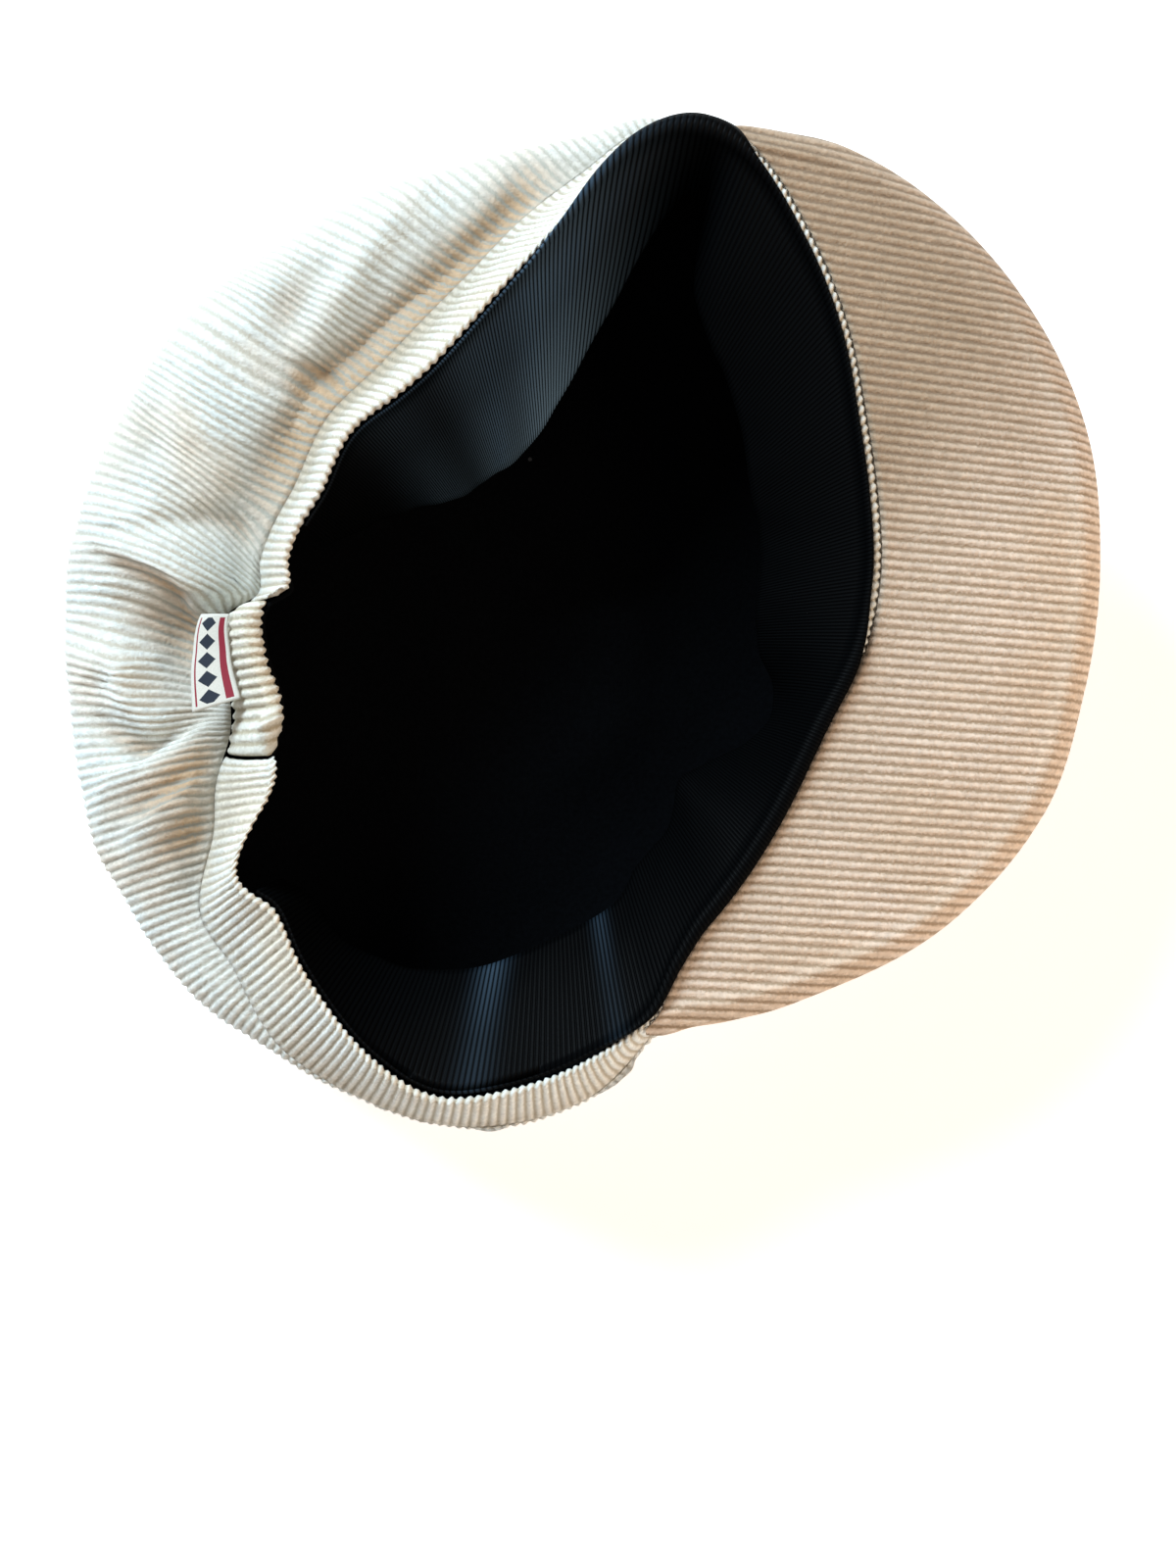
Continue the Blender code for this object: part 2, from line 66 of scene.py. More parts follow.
# angle from the front, rim reach, rim height, band lean, crown bulge, as shares
sections = (
    (0, 0.612, 0.890, 0.45, 0.38),
    (12, 0.636, 0.895, 0.41, 0.38),
    (25, 0.664, 0.905, 0.38, 0.38),
    (37, 0.709, 0.925, 0.39, 0.35),
    (49, 0.785, 0.945, 0.40, 0.30),
    (60, 0.865, 0.965, 0.40, 0.22),
    (71, 0.951, 0.985, 0.36, 0.13),
    (78, 0.960, 1.000, 0.12, 0.13),
    (84, 0.902, 0.993, 0.36, 0.18),
    (91, 0.768, 0.973, 0.48, 0.35),
    (98, 0.672, 0.960, 0.55, 0.50),
    (108, 0.583, 0.945, 0.49, 0.71),
    (119, 0.526, 0.930, 0.45, 0.89),
    (130, 0.506, 0.920, 0.37, 0.97),
    (143, 0.514, 0.900, 0.30, 1.05),
    (157, 0.497, 0.885, 0.28, 1.11),
    (168, 0.513, 0.870, 0.28, 1.10),
    (174, 0.518, 0.860, 0.31, 1.09),
    (180, 0.513, 0.850, 0.34, 1.10),
    (184, 0.569, 0.845, 0.36, 0.94),
    (192, 0.575, 0.838, 0.38, 0.92),
    (204, 0.560, 0.840, 0.58, 0.92),
    (212, 0.600, 0.850, 0.78, 0.79),
    (218, 0.645, 0.860, 0.82, 0.65),
    (225, 0.795, 0.880, 0.60, 0.39),
    (233, 0.793, 0.895, 0.78, 0.33),
    (240, 0.842, 0.905, 0.80, 0.16),
    (244, 0.870, 0.910, 0.76, 0.09),
    (254, 0.940, 0.918, 0.46, 0.05),
    (262, 0.972, 0.920, 0.32, 0.04),
    (270, 0.940, 0.920, 0.38, 0.06),
    (280, 0.880, 0.920, 0.39, 0.05),
    (289, 0.812, 0.915, 0.20, 0.07),
    (295, 0.728, 0.910, 0.34, 0.18),
    (302, 0.669, 0.905, 0.42, 0.28),
    (322, 0.594, 0.895, 0.42, 0.36),
    (341, 0.571, 0.890, 0.42, 0.39),
)


def readTable(rows, angles, loops=True):
    # smooth curve through the rows, one array for each column after the angle
    knots = np.array([row[0] for row in rows], float)
    values = np.array([row[1:] for row in rows], float)
    angles = np.asarray(angles, float)
    if loops:
        angles = angles % 360.0
        knots = np.concatenate((knots[-2:] - 360, knots, knots[:2] + 360))
        values = np.concatenate((values[-2:], values, values[:2]))
    last = len(knots) - 1
    at = np.clip(np.searchsorted(knots, angles, "right") - 1, 0, last - 1)
    before, after = np.maximum(at - 1, 0), np.minimum(at + 2, last)
    span = knots[at + 1] - knots[at]
    s = np.clip((angles - knots[at]) / span, 0, 1)[..., None]
    slope1 = (values[at + 1] - values[before]) / (knots[at + 1] - knots[before])[..., None]
    slope2 = (values[after] - values[at]) / (knots[after] - knots[at])[..., None]
    span = span[..., None]
    read = ((2 * s**3 - 3 * s**2 + 1) * values[at] + (s**3 - 2 * s**2 + s) * slope1 * span
            + (3 * s**2 - 2 * s**3) * values[at + 1] + (s**3 - s**2) * slope2 * span)
    return [read[..., i] for i in range(read.shape[-1])]


class Cut:
    # the cap cut by upright half planes at many angles: r is the reach, z the height
    def __init__(self, angles):
        reach, height, lean, bulge = readTable(sections, angles)
        lean = np.radians(lean * cap["bandLean"])
        self.lean = lean
        self.rimR, self.rimZ = reach * cap["rimReach"], height * cap["height"]
        self.shoulderR = self.rimR + cap["roll"]
        self.shoulderZ = self.rimZ - cap["roll"] / 2
        self.seamR = self.shoulderR + np.sin(lean) * cap["bandWidth"]
        self.seamZ = self.shoulderZ - np.cos(lean) * cap["bandWidth"]
        self.bulge = bulge * cap["overhang"]
        self.startR = self.seamR + np.sin(lean) * cap["seamGap"]
        self.startZ = self.seamZ - np.cos(lean) * cap["seamGap"]
        self.widestR = self.startR + self.bulge

    def crown(self, turn):
        # from the band seam at 0 to the widest line at 90 and on to the flat at 180
        up = np.radians(np.minimum(turn, 90.0))
        down = np.radians(np.maximum(turn - 90.0, 0.0))
        r = self.startR + self.bulge * np.sin(up)
        z = (cap["widestHeight"] + (self.startZ - cap["widestHeight"]) * np.cos(up)
             + self.bulge * cap["puff"] * np.sin(2 * up))
        low = turn > 90.0
        r = np.where(low, self.widestR - cap["flatInset"] * (1 - np.cos(down)), r)
        z = np.where(low, cap["widestHeight"] * (1 - np.sin(down)), z)
        return r, z

    def band(self, down, depth=0.0):
        # a place down the band's face, set in by depth
        r = self.shoulderR + np.sin(self.lean) * down - np.cos(self.lean) * depth
        z = self.shoulderZ - np.cos(self.lean) * down - np.sin(self.lean) * depth
        return r, z


def place(angles, r, z):
    turn = np.radians(angles)
    return np.stack((cap["openingX"] + r * np.cos(turn), r * np.sin(turn),
                     z + 0 * turn), -1)


def acrossNormals(points, ring):
    # surface normals of a grid of points [row, column]
    alongColumns = np.gradient(points, axis=1)
    if ring:
        alongColumns[:, 0] = (points[:, 1] - points[:, -1]) / 2
        alongColumns[:, -1] = (points[:, 0] - points[:, -2]) / 2
    alongRows = np.gradient(points, axis=0)
    normals = np.cross(alongColumns, alongRows)
    return normals / np.maximum(np.linalg.norm(normals, axis=-1, keepdims=True), 1e-12)


def smoothNoise(x, y, seed):
    # soft seeded waves from -1 to 1, a few of them added
    chance = np.random.default_rng(seed)
    total = np.zeros(np.broadcast(x, y).shape)
    for scale, share in ((1.0, 0.5), (1.9, 0.3), (3.7, 0.2)):
        turn, shiftA, shiftB = chance.uniform(0, 2 * math.pi, 3)
        u = (x * math.cos(turn) + y * math.sin(turn)) * scale
        v = (y * math.cos(turn) - x * math.sin(turn)) * scale
        total += share * np.sin(u + shiftA + 1.3 * np.sin(v * 0.7 + shiftB)) * np.cos(v + shiftB)
    return total


def wale(phase):
    # cross profile of the cord: a round rib from 0 in the groove to 1 on its crest
    return np.abs(np.sin(np.pi * phase))**1.5


def pileDepth(phase, rows, seed):
    # how far the cloth lies under its highest tips: grooves and uneven pile, [row, column]
    uneven = np.random.default_rng(seed).normal(0, cap["pile"], (rows, len(phase)))
    return cap["waleDepth"] * (1 - wale(phase)) + uneven


def foldLine(spots, reachAt):
    # plan line of a fold's crest, smoothed through its places (angle, share)
    angles = np.array([spot[0] for spot in spots], float)
    reach = reachAt(angles, np.array([spot[1] for spot in spots], float))
    corners = place(angles, reach, 0)[:, :2]
    rows = [(i, *corner) for i, corner in enumerate(corners)]
    return np.stack(readTable(rows, np.linspace(0, len(rows) - 1, 6 * len(rows)), False), -1)


def foldShift(x, y, folds, reachAt):
    # how far the folds lift the cloth and draw it sideways, as metres [x, y, z], and the painted shade
    # in the hollow under each fold's right side
    shift = np.zeros(np.shape(x) + (3,))
    paintedShade = np.zeros(np.shape(x))
    for _, spots, widths, height, slide, much in folds:
        line = foldLine(spots, reachAt)
        nearest = np.full(np.shape(x), 1e9)
        along, side, across = np.zeros_like(nearest), np.zeros_like(nearest), np.zeros_like(shift)
        for i in range(len(line) - 1):
            run = line[i + 1] - line[i]
            t = np.clip(((x - line[i][0]) * run[0] + (y - line[i][1]) * run[1])
                        / (run @ run), 0, 1)
            awayX, awayY = x - line[i][0] - run[0] * t, y - line[i][1] - run[1] * t
            away = np.hypot(awayX, awayY)
            closer = away < nearest
            left = np.array([-run[1], run[0], 0]) / math.hypot(*run)
            nearest = np.where(closer, away, nearest)
            along = np.where(closer, (i + t) / (len(line) - 1), along)
            side = np.where(closer, awayX * left[0] + awayY * left[1], side)
            across = np.where(closer[..., None], left, across)
        turned = side / np.maximum(nearest, 1e-6)
        wide = (widths[0] + widths[1]) / 2 + (widths[0] - widths[1]) / 2 * turned
        strong = np.sin(np.pi * np.clip(0.15 + 0.70 * along, 0, 1))
        rise = np.exp(-(nearest / wide)**2) * strong
        shift += across * (slide * rise)[..., None]
        shift[..., 2] += height * rise
        # painted shade in the hollow under the fold's right side
        under = (side + widths[1] * 1.1) / (widths[1] * 0.9)
        paintedShade = np.maximum(paintedShade, much * strong * np.exp(-under**2)
                          * np.exp(-(np.maximum(nearest - np.abs(side), 0) / 0.003)**2))
    return shift, paintedShade


def clothPiece(name, points, ringColumns, ringRows, node, shade=None):
    # a grid bent to the points [row, column], its rows or columns closed into a ring
    rows, columns = points.shape[:2]
    across = columns if ringColumns else columns - 1
    up = rows if ringRows else rows - 1
    shape = bmesh.new()
    shape.loops.layers.uv.new("weave")
    bmesh.ops.create_grid(shape, x_segments=across, y_segments=up, size=0.5, calc_uvs=True)
    mesh = bpy.data.meshes.new(name)
    shape.to_mesh(mesh)
    flat = np.empty(len(mesh.vertices) * 3)
    mesh.vertices.foreach_get("co", flat)
    flat = flat.reshape(-1, 3)
    column = np.rint((flat[:, 0] + 0.5) * across).astype(int) % columns
    row = np.rint((flat[:, 1] + 0.5) * up).astype(int) % rows
    mesh.vertices.foreach_set("co", points[row, column].ravel())
    if shade is not None:
        mesh.attributes.new("shade", "FLOAT", "POINT").data.foreach_set("value", shade[row, column])
    shape.free()
    shape = bmesh.new()
    shape.from_mesh(mesh)
    bmesh.ops.remove_doubles(shape, verts=shape.verts, dist=1e-6)
    if ringRows:
        ends = [edge for edge in shape.edges if edge.is_boundary]
        if ends:
            bmesh.ops.holes_fill(shape, edges=ends, sides=0)
    bmesh.ops.recalc_face_normals(shape, faces=shape.faces)
    shape.to_mesh(mesh)
    shape.free()
    mesh.shade_smooth()
    piece = bpy.data.objects.new(name, mesh)
    bpy.context.scene.collection.objects.link(piece)
    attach(piece, "root")
    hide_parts(node)
    print("made", name, "with", len(mesh.polygons), "faces")
    return piece


def linear(code):
    # sRGB hex to linear
    parts = [int(code[i:i + 2], 16) / 255 for i in (0, 2, 4)]
    return tuple(p / 12.92 if p <= 0.04045 else ((p + 0.055) / 1.055)**2.4 for p in parts) + (1,)


def add(tree, kind, links=None, **settings):
    # one node with its settings, its inputs set to values or linked to sockets
    made = tree.nodes.new(kind)
    for key, value in settings.items():
        setattr(made, key, value)
    for socket, value in (links or {}).items():
        if isinstance(value, bpy.types.NodeSocket):
            tree.links.new(value, made.inputs[socket])
        else:
            made.inputs[socket].default_value = value
    return made


def newMaterial(name):
    made = bpy.data.materials.new(name)
    made.use_nodes = True
    made.node_tree.nodes.clear()
    return made


# Cotton corduroy, cut pile in rounded wales with thin ground weave between them.
# To the eye: matt, soft-edged ribs with fuzzy grooves coloured darker, partly the bare ground weave and
# partly painted shade in the recesses. The shade attribute adds painted shade, warmer and darker, in
# the hollows and valleys.
def corduroy(name, wales, crest, groove, tint):
    made = newMaterial(name)
    tree = made.node_tree
    uv = add(tree, "ShaderNodeUVMap", uv_map="weave")
    split = add(tree, "ShaderNodeSeparateXYZ", {0: uv.outputs[0]})
    spot = add(tree, "ShaderNodeTexCoord").outputs["Object"]
    # tufts of the pile are a little under a millimetre
    tuft = add(tree, "ShaderNodeTexNoise", {"Vector": spot, "Scale": 1250.0, "Detail": 2.0,
                                            "Roughness": 0.65})
    wobble = add(tree, "ShaderNodeMath", {0: tuft.outputs[0], 1: 0.5}, operation="SUBTRACT")
    wobble = add(tree, "ShaderNodeMath", {0: wobble.outputs[0], 1: 0.55}, operation="MULTIPLY")
    phase = add(tree, "ShaderNodeMath", {0: split.outputs[0], 1: float(wales), 2: wobble.outputs[0]},
                operation="MULTIPLY_ADD")
    turn = add(tree, "ShaderNodeMath", {0: phase.outputs[0], 1: math.pi}, operation="MULTIPLY")
    swing = add(tree, "ShaderNodeMath", {0: turn.outputs[0]}, operation="SINE")
    rib = add(tree, "ShaderNodeMath", {0: swing.outputs[0]}, operation="ABSOLUTE")
    mask = add(tree, "ShaderNodeMapRange", {0: rib.outputs[0], 1: 0.15, 2: 0.98},
               interpolation_type="SMOOTHSTEP")
    # mottling a few centimetres wide, and pile that lies over in short streaks
    mottle = add(tree, "ShaderNodeTexNoise", {"Vector": spot, "Scale": 34.0, "Detail": 3.0})
    soft = add(tree, "ShaderNodeMapRange", {0: mottle.outputs[0], 1: 0.38, 2: 0.66, 4: 0.5},
               interpolation_type="SMOOTHSTEP")
    # painted shade: where the mesh's shade attribute is high the pile turns to the warm tint
    shade = add(tree, "ShaderNodeAttribute", attribute_name="shade").outputs["Fac"]
    mottleAndPaintedShade = add(tree, "ShaderNodeMath", {0: soft.outputs[0], 1: shade}, operation="MAXIMUM")
    pile = add(tree, "ShaderNodeMix", {0: mottleAndPaintedShade.outputs[0], 6: linear(crest), 7: linear(tint)},
               data_type="RGBA")
    streak = add(tree, "ShaderNodeTexNoise", {"Vector": spot, "Scale": 620.0, "Detail": 3.0})
    fleck = add(tree, "ShaderNodeMapRange", {0: streak.outputs[0], 1: 0.30, 2: 0.70, 3: 0.84, 4: 1.10})
    pile = add(tree, "ShaderNodeVectorMath", {0: pile.outputs[2], 1: fleck.outputs[0]},
               operation="MULTIPLY")
    # the grooves are coloured darker: partly the bare ground weave, partly painted shade in the recess
    colour = add(tree, "ShaderNodeMix", {0: mask.outputs[0], 6: linear(groove), 7: pile.outputs[0]},
                 data_type="RGBA")
    # painted shade: the colour is darkened to 0.66 where the shade attribute is 1; below 0 it is
    # lightened, a painted highlight
    paintedShade = add(tree, "ShaderNodeMapRange", {0: shade, 3: 1.0, 4: 0.66}, clamp=False)
    colour = add(tree, "ShaderNodeVectorMath", {0: colour.outputs[2], 1: paintedShade.outputs[0]},
                 operation="MULTIPLY")
    fuzz = add(tree, "ShaderNodeBump", {"Height": tuft.outputs[0], "Strength": 0.6,
                                        "Distance": 0.0005})
    shader = add(tree, "ShaderNodeBsdfPrincipled", {
        "Base Color": colour.outputs[0], "Roughness": 0.92, "Sheen Weight": 0.15,
        "Sheen Roughness": 0.5, "Specular IOR Level": 0.15, "Normal": fuzz.outputs[0]})
    add(tree, "ShaderNodeOutputMaterial", {0: shader.outputs[0]})
    return made


# Rayon grosgrain, a heavy weft that stands up in fine cross ribs. To the eye: black with a cool silky
# sheen along the ribs, painted as a grey-blue colour where the ribbon bends, and a duller stitched
# edge.
def grosgrain(name, ribs):
    made = newMaterial(name)
    tree = made.node_tree
    uv = add(tree, "ShaderNodeUVMap", uv_map="weave")
    split = add(tree, "ShaderNodeSeparateXYZ", {0: uv.outputs[0]})
    spot = add(tree, "ShaderNodeTexCoord").outputs["Object"]
    thread = add(tree, "ShaderNodeTexNoise", {"Vector": spot, "Scale": 2200.0, "Detail": 2.0})
    turn = add(tree, "ShaderNodeMath", {0: split.outputs[0], 1: ribs * math.pi}, operation="MULTIPLY")
    swing = add(tree, "ShaderNodeMath", {0: turn.outputs[0]}, operation="SINE")
    rib = add(tree, "ShaderNodeMath", {0: swing.outputs[0]}, operation="ABSOLUTE")
    mask = add(tree, "ShaderNodeMapRange", {0: rib.outputs[0], 1: 0.15, 2: 0.85})
    rough = add(tree, "ShaderNodeMapRange", {0: thread.outputs[0], 3: 0.42, 4: 0.62})
    # painted sheen: the ribs are coloured lighter, grey-blue, where the ribbon bends
    bend = add(tree, "ShaderNodeAttribute", attribute_name="shade").outputs["Fac"]
    paintedSheen = add(tree, "ShaderNodeMix", {0: bend, 6: linear("050607"), 7: linear("637F98")},
               data_type="RGBA")
    colour = add(tree, "ShaderNodeMix", {0: mask.outputs[0], 6: linear("010102"),
                                         7: paintedSheen.outputs[2]}, data_type="RGBA")
    bump = add(tree, "ShaderNodeBump", {"Height": mask.outputs[0], "Strength": 0.8,
                                        "Distance": 0.00022})
    shader = add(tree, "ShaderNodeBsdfPrincipled", {
        "Base Color": colour.outputs[2], "Roughness": rough.outputs[0], "Specular IOR Level": 0.04,
        "Normal": bump.outputs[0]})
    add(tree, "ShaderNodeOutputMaterial", {0: shader.outputs[0]})
    return made


# Brushed cotton knit, dyed black. To the eye: nearly no light comes back, only a faint
# stitch grain on the folds and a few specks of lint.
def knit(name):
    made = newMaterial(name)
    tree = made.node_tree
    spot = add(tree, "ShaderNodeTexCoord").outputs["Object"]
    stitch = add(tree, "ShaderNodeTexNoise", {"Vector": spot, "Scale": 900.0, "Detail": 3.0})
    lint = add(tree, "ShaderNodeTexVoronoi", {"Vector": spot, "Scale": 55.0, "Randomness": 1.0})
    speck = add(tree, "ShaderNodeMapRange", {0: lint.outputs["Distance"], 1: 0.025, 2: 0.035,
                                             3: 1.0, 4: 0.0})
    base = add(tree, "ShaderNodeMix", {0: stitch.outputs[0], 6: linear("020203"),
                                       7: linear("090B0E")}, data_type="RGBA")
    colour = add(tree, "ShaderNodeMix", {0: speck.outputs[0], 6: base.outputs[2],
                                         7: linear("3a3c40")}, data_type="RGBA")
    bump = add(tree, "ShaderNodeBump", {"Height": stitch.outputs[0], "Strength": 0.5,
                                        "Distance": 0.0004})
    shader = add(tree, "ShaderNodeBsdfPrincipled", {
        "Base Color": colour.outputs[2], "Roughness": 0.95, "Specular IOR Level": 0.03,
        "Sheen Weight": 0.012, "Sheen Roughness": 0.5, "Normal": bump.outputs[0]})
    add(tree, "ShaderNodeOutputMaterial", {0: shader.outputs[0]})
    return made


# Crown side: one soft panel that bulges out from the band, its wales running out and
# leaning with the cut of the cloth, gathered and folded at the back.
crownSide = {
    "rows": 42,
    "endTurn": 130.0,
    "columnsPerWale": 6,
    "innerStep": 4,                  # rows of the outside for each row of the inside
    "slack": 0.0009, "slackTurns": 190.0,    # loose cloth between the folds, and its waves
    "sewn": (124.0, 34.0),           # the middle and half of the stretch where the wales meet
    "meet": 130.0,                   # the angle where they meet exactly
    "fadeIn": 0.07, "fadeOut": 0.30,         # how soon the folds begin and end, as shares
    # how smoothly the cloth turns in the valley at the band, by angle, 1 for no crease at all
    "fillet": ((0, 0.3), (70, 0.2), (84, 0.45), (96, 1.0), (150, 1.0), (168, 0.8), (182, 0.4),
               (208, 0.45), (225, 0.5), (262, 0.5), (290, 0.4)), "filletReach": 0.0060,
    # painted shade beside the band, darker and warmer in the valley at the seam, by angle, and how far
    # out that reaches
    "paintedShade": ((0, 0.3), (70, 0.2), (84, 0.2), (92, 0.4), (100, 0.8), (112, 1.0), (150, 1.0),
             (166, 0.6), (178, 0.2), (208, 0.3), (230, 0.3), (260, 0.2)), "paintedShadeReach": 0.0125,
    # how far the wales lean from straight out: angle, degrees near the seam, further out
    "lean": ((0, 0, 0), (60, 6, 6), (92, 30, 30), (106, 38, 38), (119, 35, 35), (136, 15, 14),
             (144, 20, 8), (153, 10, -2), (161, 2, -14), (166, -16, -15), (172, -36, -14),
             (178, -42, -10), (184, -42, -6), (190, -36, -12), (195, -28, -21), (200, -20, -22),
             (204, -8, -14), (208, -6, -11), (214, -12, -14), (221, -14, -17), (229, -15, -16),
             (238, -6, -6), (250, -10, -10), (300, 0, 0)),
    # name, places from the outside in (angle, share of the way out), half widths to the left and right
    # of that line, height, how far the crest is drawn to the left, and how much painted shade lies in
    # the hollow on its right
    "folds": (
        ("longCrease", ((174.5, 0.90), (173.5, 0.67), (171, 0.50), (168.5, 0.33), (168, 0.20),
                        (171, 0.08)), (0.0022, 0.0030), -0.0024, 0.0, 0.2),
        ("lapFold", ((175, 0.74), (176, 0.60), (177.5, 0.43), (179, 0.34), (180.5, 0.28),
                     (182.5, 0.20), (184, 0.08)), (0.0085, 0.0030), 0.0072, -0.0016, 1.0),
        ("pocket", ((184, 0.50), (186, 0.33), (188.5, 0.24), (193, 0.24)),
         (0.0055, 0.0065), -0.0044, 0.0, 0.0),
        ("softFold", ((189, 0.90), (190, 0.68), (191.5, 0.57), (195, 0.52), (198.5, 0.45),
                      (201.5, 0.32)), (0.0044, 0.0060), 0.0054, -0.0026, 0.0),
        ("pleatValley", ((199, 0.72), (202.3, 0.55), (204, 0.42), (203.3, 0.27), (202, 0.14)),
         (0.0050, 0.0030), -0.0050, 0.0, 0.0),
        ("pleat", ((205.5, 0.70), (206, 0.50), (205.3, 0.41), (204.5, 0.28), (203.5, 0.17),
                   (202.5, 0.05)), (0.0026, 0.0066), 0.0058, 0.0014, 1.0),
        ("lowPleat", ((212.5, 0.58), (212.5, 0.45), (212, 0.32), (211.8, 0.19), (211, 0.09),
                      (210, 0.02)), (0.0026, 0.0060), 0.0050, 0.0012, 0.9),
        ("sideValley", ((98, 0.50), (101, 0.22), (107, 0.16), (116, 0.12), (128, 0.12),
                        (138, 0.15), (153, 0.18), (162, 0.20)), (0.0055, 0.0045), -0.0030, 0.0, 0.0),
        ("sideRidge", ((111.5, 0.87), (121, 0.60), (129.5, 0.47), (136, 0.37)),
         (0.0050, 0.0055), 0.0030, 0.0, 0.0),
        ("backValley", ((124, 0.68), (134, 0.57), (139, 0.49)), (0.0045, 0.0050), -0.0028, 0.0, 0.0),
        ("edgeValley", ((155, 0.84), (161, 0.76), (166, 0.74)), (0.0040, 0.0050), -0.0020, 0.0, 0.0),
        ("edgeRidge", ((155.5, 0.77), (159, 0.56), (164, 0.31)), (0.0045, 0.0045), 0.0018, 0.0, 0.0),
        ("crease", ((141, 0.36), (139, 0.25), (137, 0.12)), (0.0018, 0.0030), -0.0016, 0.0010, 0.5),
    ),
}


def crownReach(angles, share):
    cut = Cut(angles)
    return cut.startR + (cut.widestR - cut.startR) * share


def seamFillet(theta, away):
    # the valley between the band and the crown is lifted along the bisector of its two
    # sides, by the height that would turn both sides square to it
    lean = Cut(theta).lean
    puffed = math.atan(2 * cap["puff"])
    opening = (math.pi / 2 + lean - puffed) / 2
    middle = puffed + opening
    lift = (np.cos(opening) * crownSide["filletReach"] * readTable(crownSide["fillet"], theta)[0]
            * np.exp(-away / crownSide["filletReach"]))
    turn = np.radians(theta)
    return np.stack((np.cos(turn) * np.cos(middle), np.sin(turn) * np.cos(middle),
                     np.sin(middle)), -1) * lift[..., None]


def crownSidePoints(start, turns):
    # start is each column's angle at the seam; in plan a column runs straight at its lean
    near, far = readTable(crownSide["lean"], start)
    theta = start.copy()
    points, thetas = [], []
    lastR = None
    for turn in turns:
        cut = Cut(theta)
        r, z = cut.crown(np.full_like(start, turn))
        if lastR is not None and turn <= 90:
            share = min(turn / 50.0, 1.0)
            heading = start + near * (1 - share) + far * share
            turned = np.clip(heading - theta, -60, 60)
            theta = theta + np.degrees((r - lastR) * np.tan(np.radians(turned)) / r)
            cut = Cut(theta)
            r, z = cut.crown(np.full_like(start, turn))
        lastR = r
        points.append(place(theta, r, z))
        thetas.append(theta)
    return np.array(points), np.array(thetas)


def waleColumns(linesAt, lowest, highest, perWale, whole, sewn=None):
    # column angles that keep the wales' pitch across them; linesAt gives two rows of places,
    # and where a piece is sewn wale to wale with another it takes that one's pitch
    fine = np.linspace(lowest, highest, 3600)
    here, beyond = linesAt(fine)
    along = np.gradient(here, axis=0)
    heading = beyond - here
    heading /= np.linalg.norm(heading, axis=-1, keepdims=True)
    step = np.linalg.norm(np.cross(along, heading), axis=-1)
    if sewn:
        theta, phase, middle, half = sewn
        same = np.clip(1 - (np.abs(fine - middle) - half) / 8, 0, 1)
        pitch = np.gradient(np.interp(fine, theta, phase)) * cap["wale"]
        step = step * (1 - same) + pitch * same
    length = np.concatenate(([0], np.cumsum((step[1:] + step[:-1]) / 2)))
    wales = round(length[-1] / cap["wale"]) if whole else length[-1] / cap["wale"]
    phase = length / length[-1] * wales
    columns = int(round(wales * perWale)) + (0 if whole else 1)
    at = np.arange(columns) / perWale if whole else np.linspace(0, wales, columns)
    return np.interp(at, phase, fine), at, wales


def makeCrownSide(bandTheta, bandPhase):
    size = crownSide

    def lines(angles):
        points = crownSidePoints(angles, np.linspace(0, 55, 7))[0]
        return points[-2], points[-1]

    # the columns shift by part of a wale so that the crown's wales meet the band's on the left
    start, phase, wales = waleColumns(lines, 0.0, 360.0, size["columnsPerWale"], True,
                                      (bandTheta, bandPhase, *size["sewn"]))
    miss = (np.interp(size["meet"], start, phase)
            - np.interp(size["meet"], bandTheta, bandPhase)) % 1.0
    start = np.interp(phase + miss, np.append(phase, phase + wales), np.append(start, start + 360))
    turns = np.concatenate(([0.0, 3.0], np.linspace(7.0, size["endTurn"], size["rows"] - 2)))
    outer, theta = crownSidePoints(start, turns)
    along = np.linspace(0, 1, len(turns))[:, None, None]
    fade = np.clip(along / size["fadeIn"], 0, 1) * np.clip((1 - along) / size["fadeOut"], 0, 1)
    fade = fade * fade * (3 - 2 * fade)
    folds, under = foldShift(outer[..., 0], outer[..., 1], size["folds"], crownReach)
    folds *= fade
    outer += folds
    slack = size["slack"] * smoothNoise(outer[..., 0] * size["slackTurns"],
                                        outer[..., 1] * size["slackTurns"], 3)
    outer[..., 2] += slack * fade[..., 0]
    fromSeam = np.linalg.norm(outer - outer[0], axis=-1)
    outer += seamFillet(theta, fromSeam)
    # painted shade: darker and warmer in the seam valley, in the folds' sunken parts and under their
    # right sides
    shade = (readTable(size["paintedShade"], theta)[0] * np.exp(-(fromSeam / size["paintedShadeReach"])**2)
             + np.clip(-folds[..., 2] / 0.0035, 0, 1) * 0.7 + under * fade[..., 0])
    normals = acrossNormals(outer, True)
    middle = outer[len(turns) // 2] - np.array([cap["openingX"], 0, cap["widestHeight"]])
    normals *= 1 if (normals[len(turns) // 2] * middle).sum() > 0 else -1
    inner = (outer - normals * cap["cloth"])[::size["innerStep"]]
    raised = (np.arange(len(turns)) > 0)[:, None, None]   # the pile is flat at the seam
    outer -= normals * pileDepth(phase, len(turns), 11)[..., None] * raised
    points = np.concatenate((outer, inner[::-1]))
    shade = np.concatenate((shade, shade[::size["innerStep"]][::-1]))
    piece = clothPiece("crown_side_corduroy", points, True, True, "crown_side",
                       np.clip(shade, 0, 1))
    # the cool tint of the crest colour is painted cool light
    piece.data.materials.append(corduroy("cottonCorduroyCrown", wales, "E3EDEE", "C3BFB3", "E8C6A2"))
    return piece


# Crown top: the flat oval panel that the cap lies on, wales running front to back.
crownTop = {"columnsPerWale": 4, "across": 64, "sides": (-0.12, 0.12)}


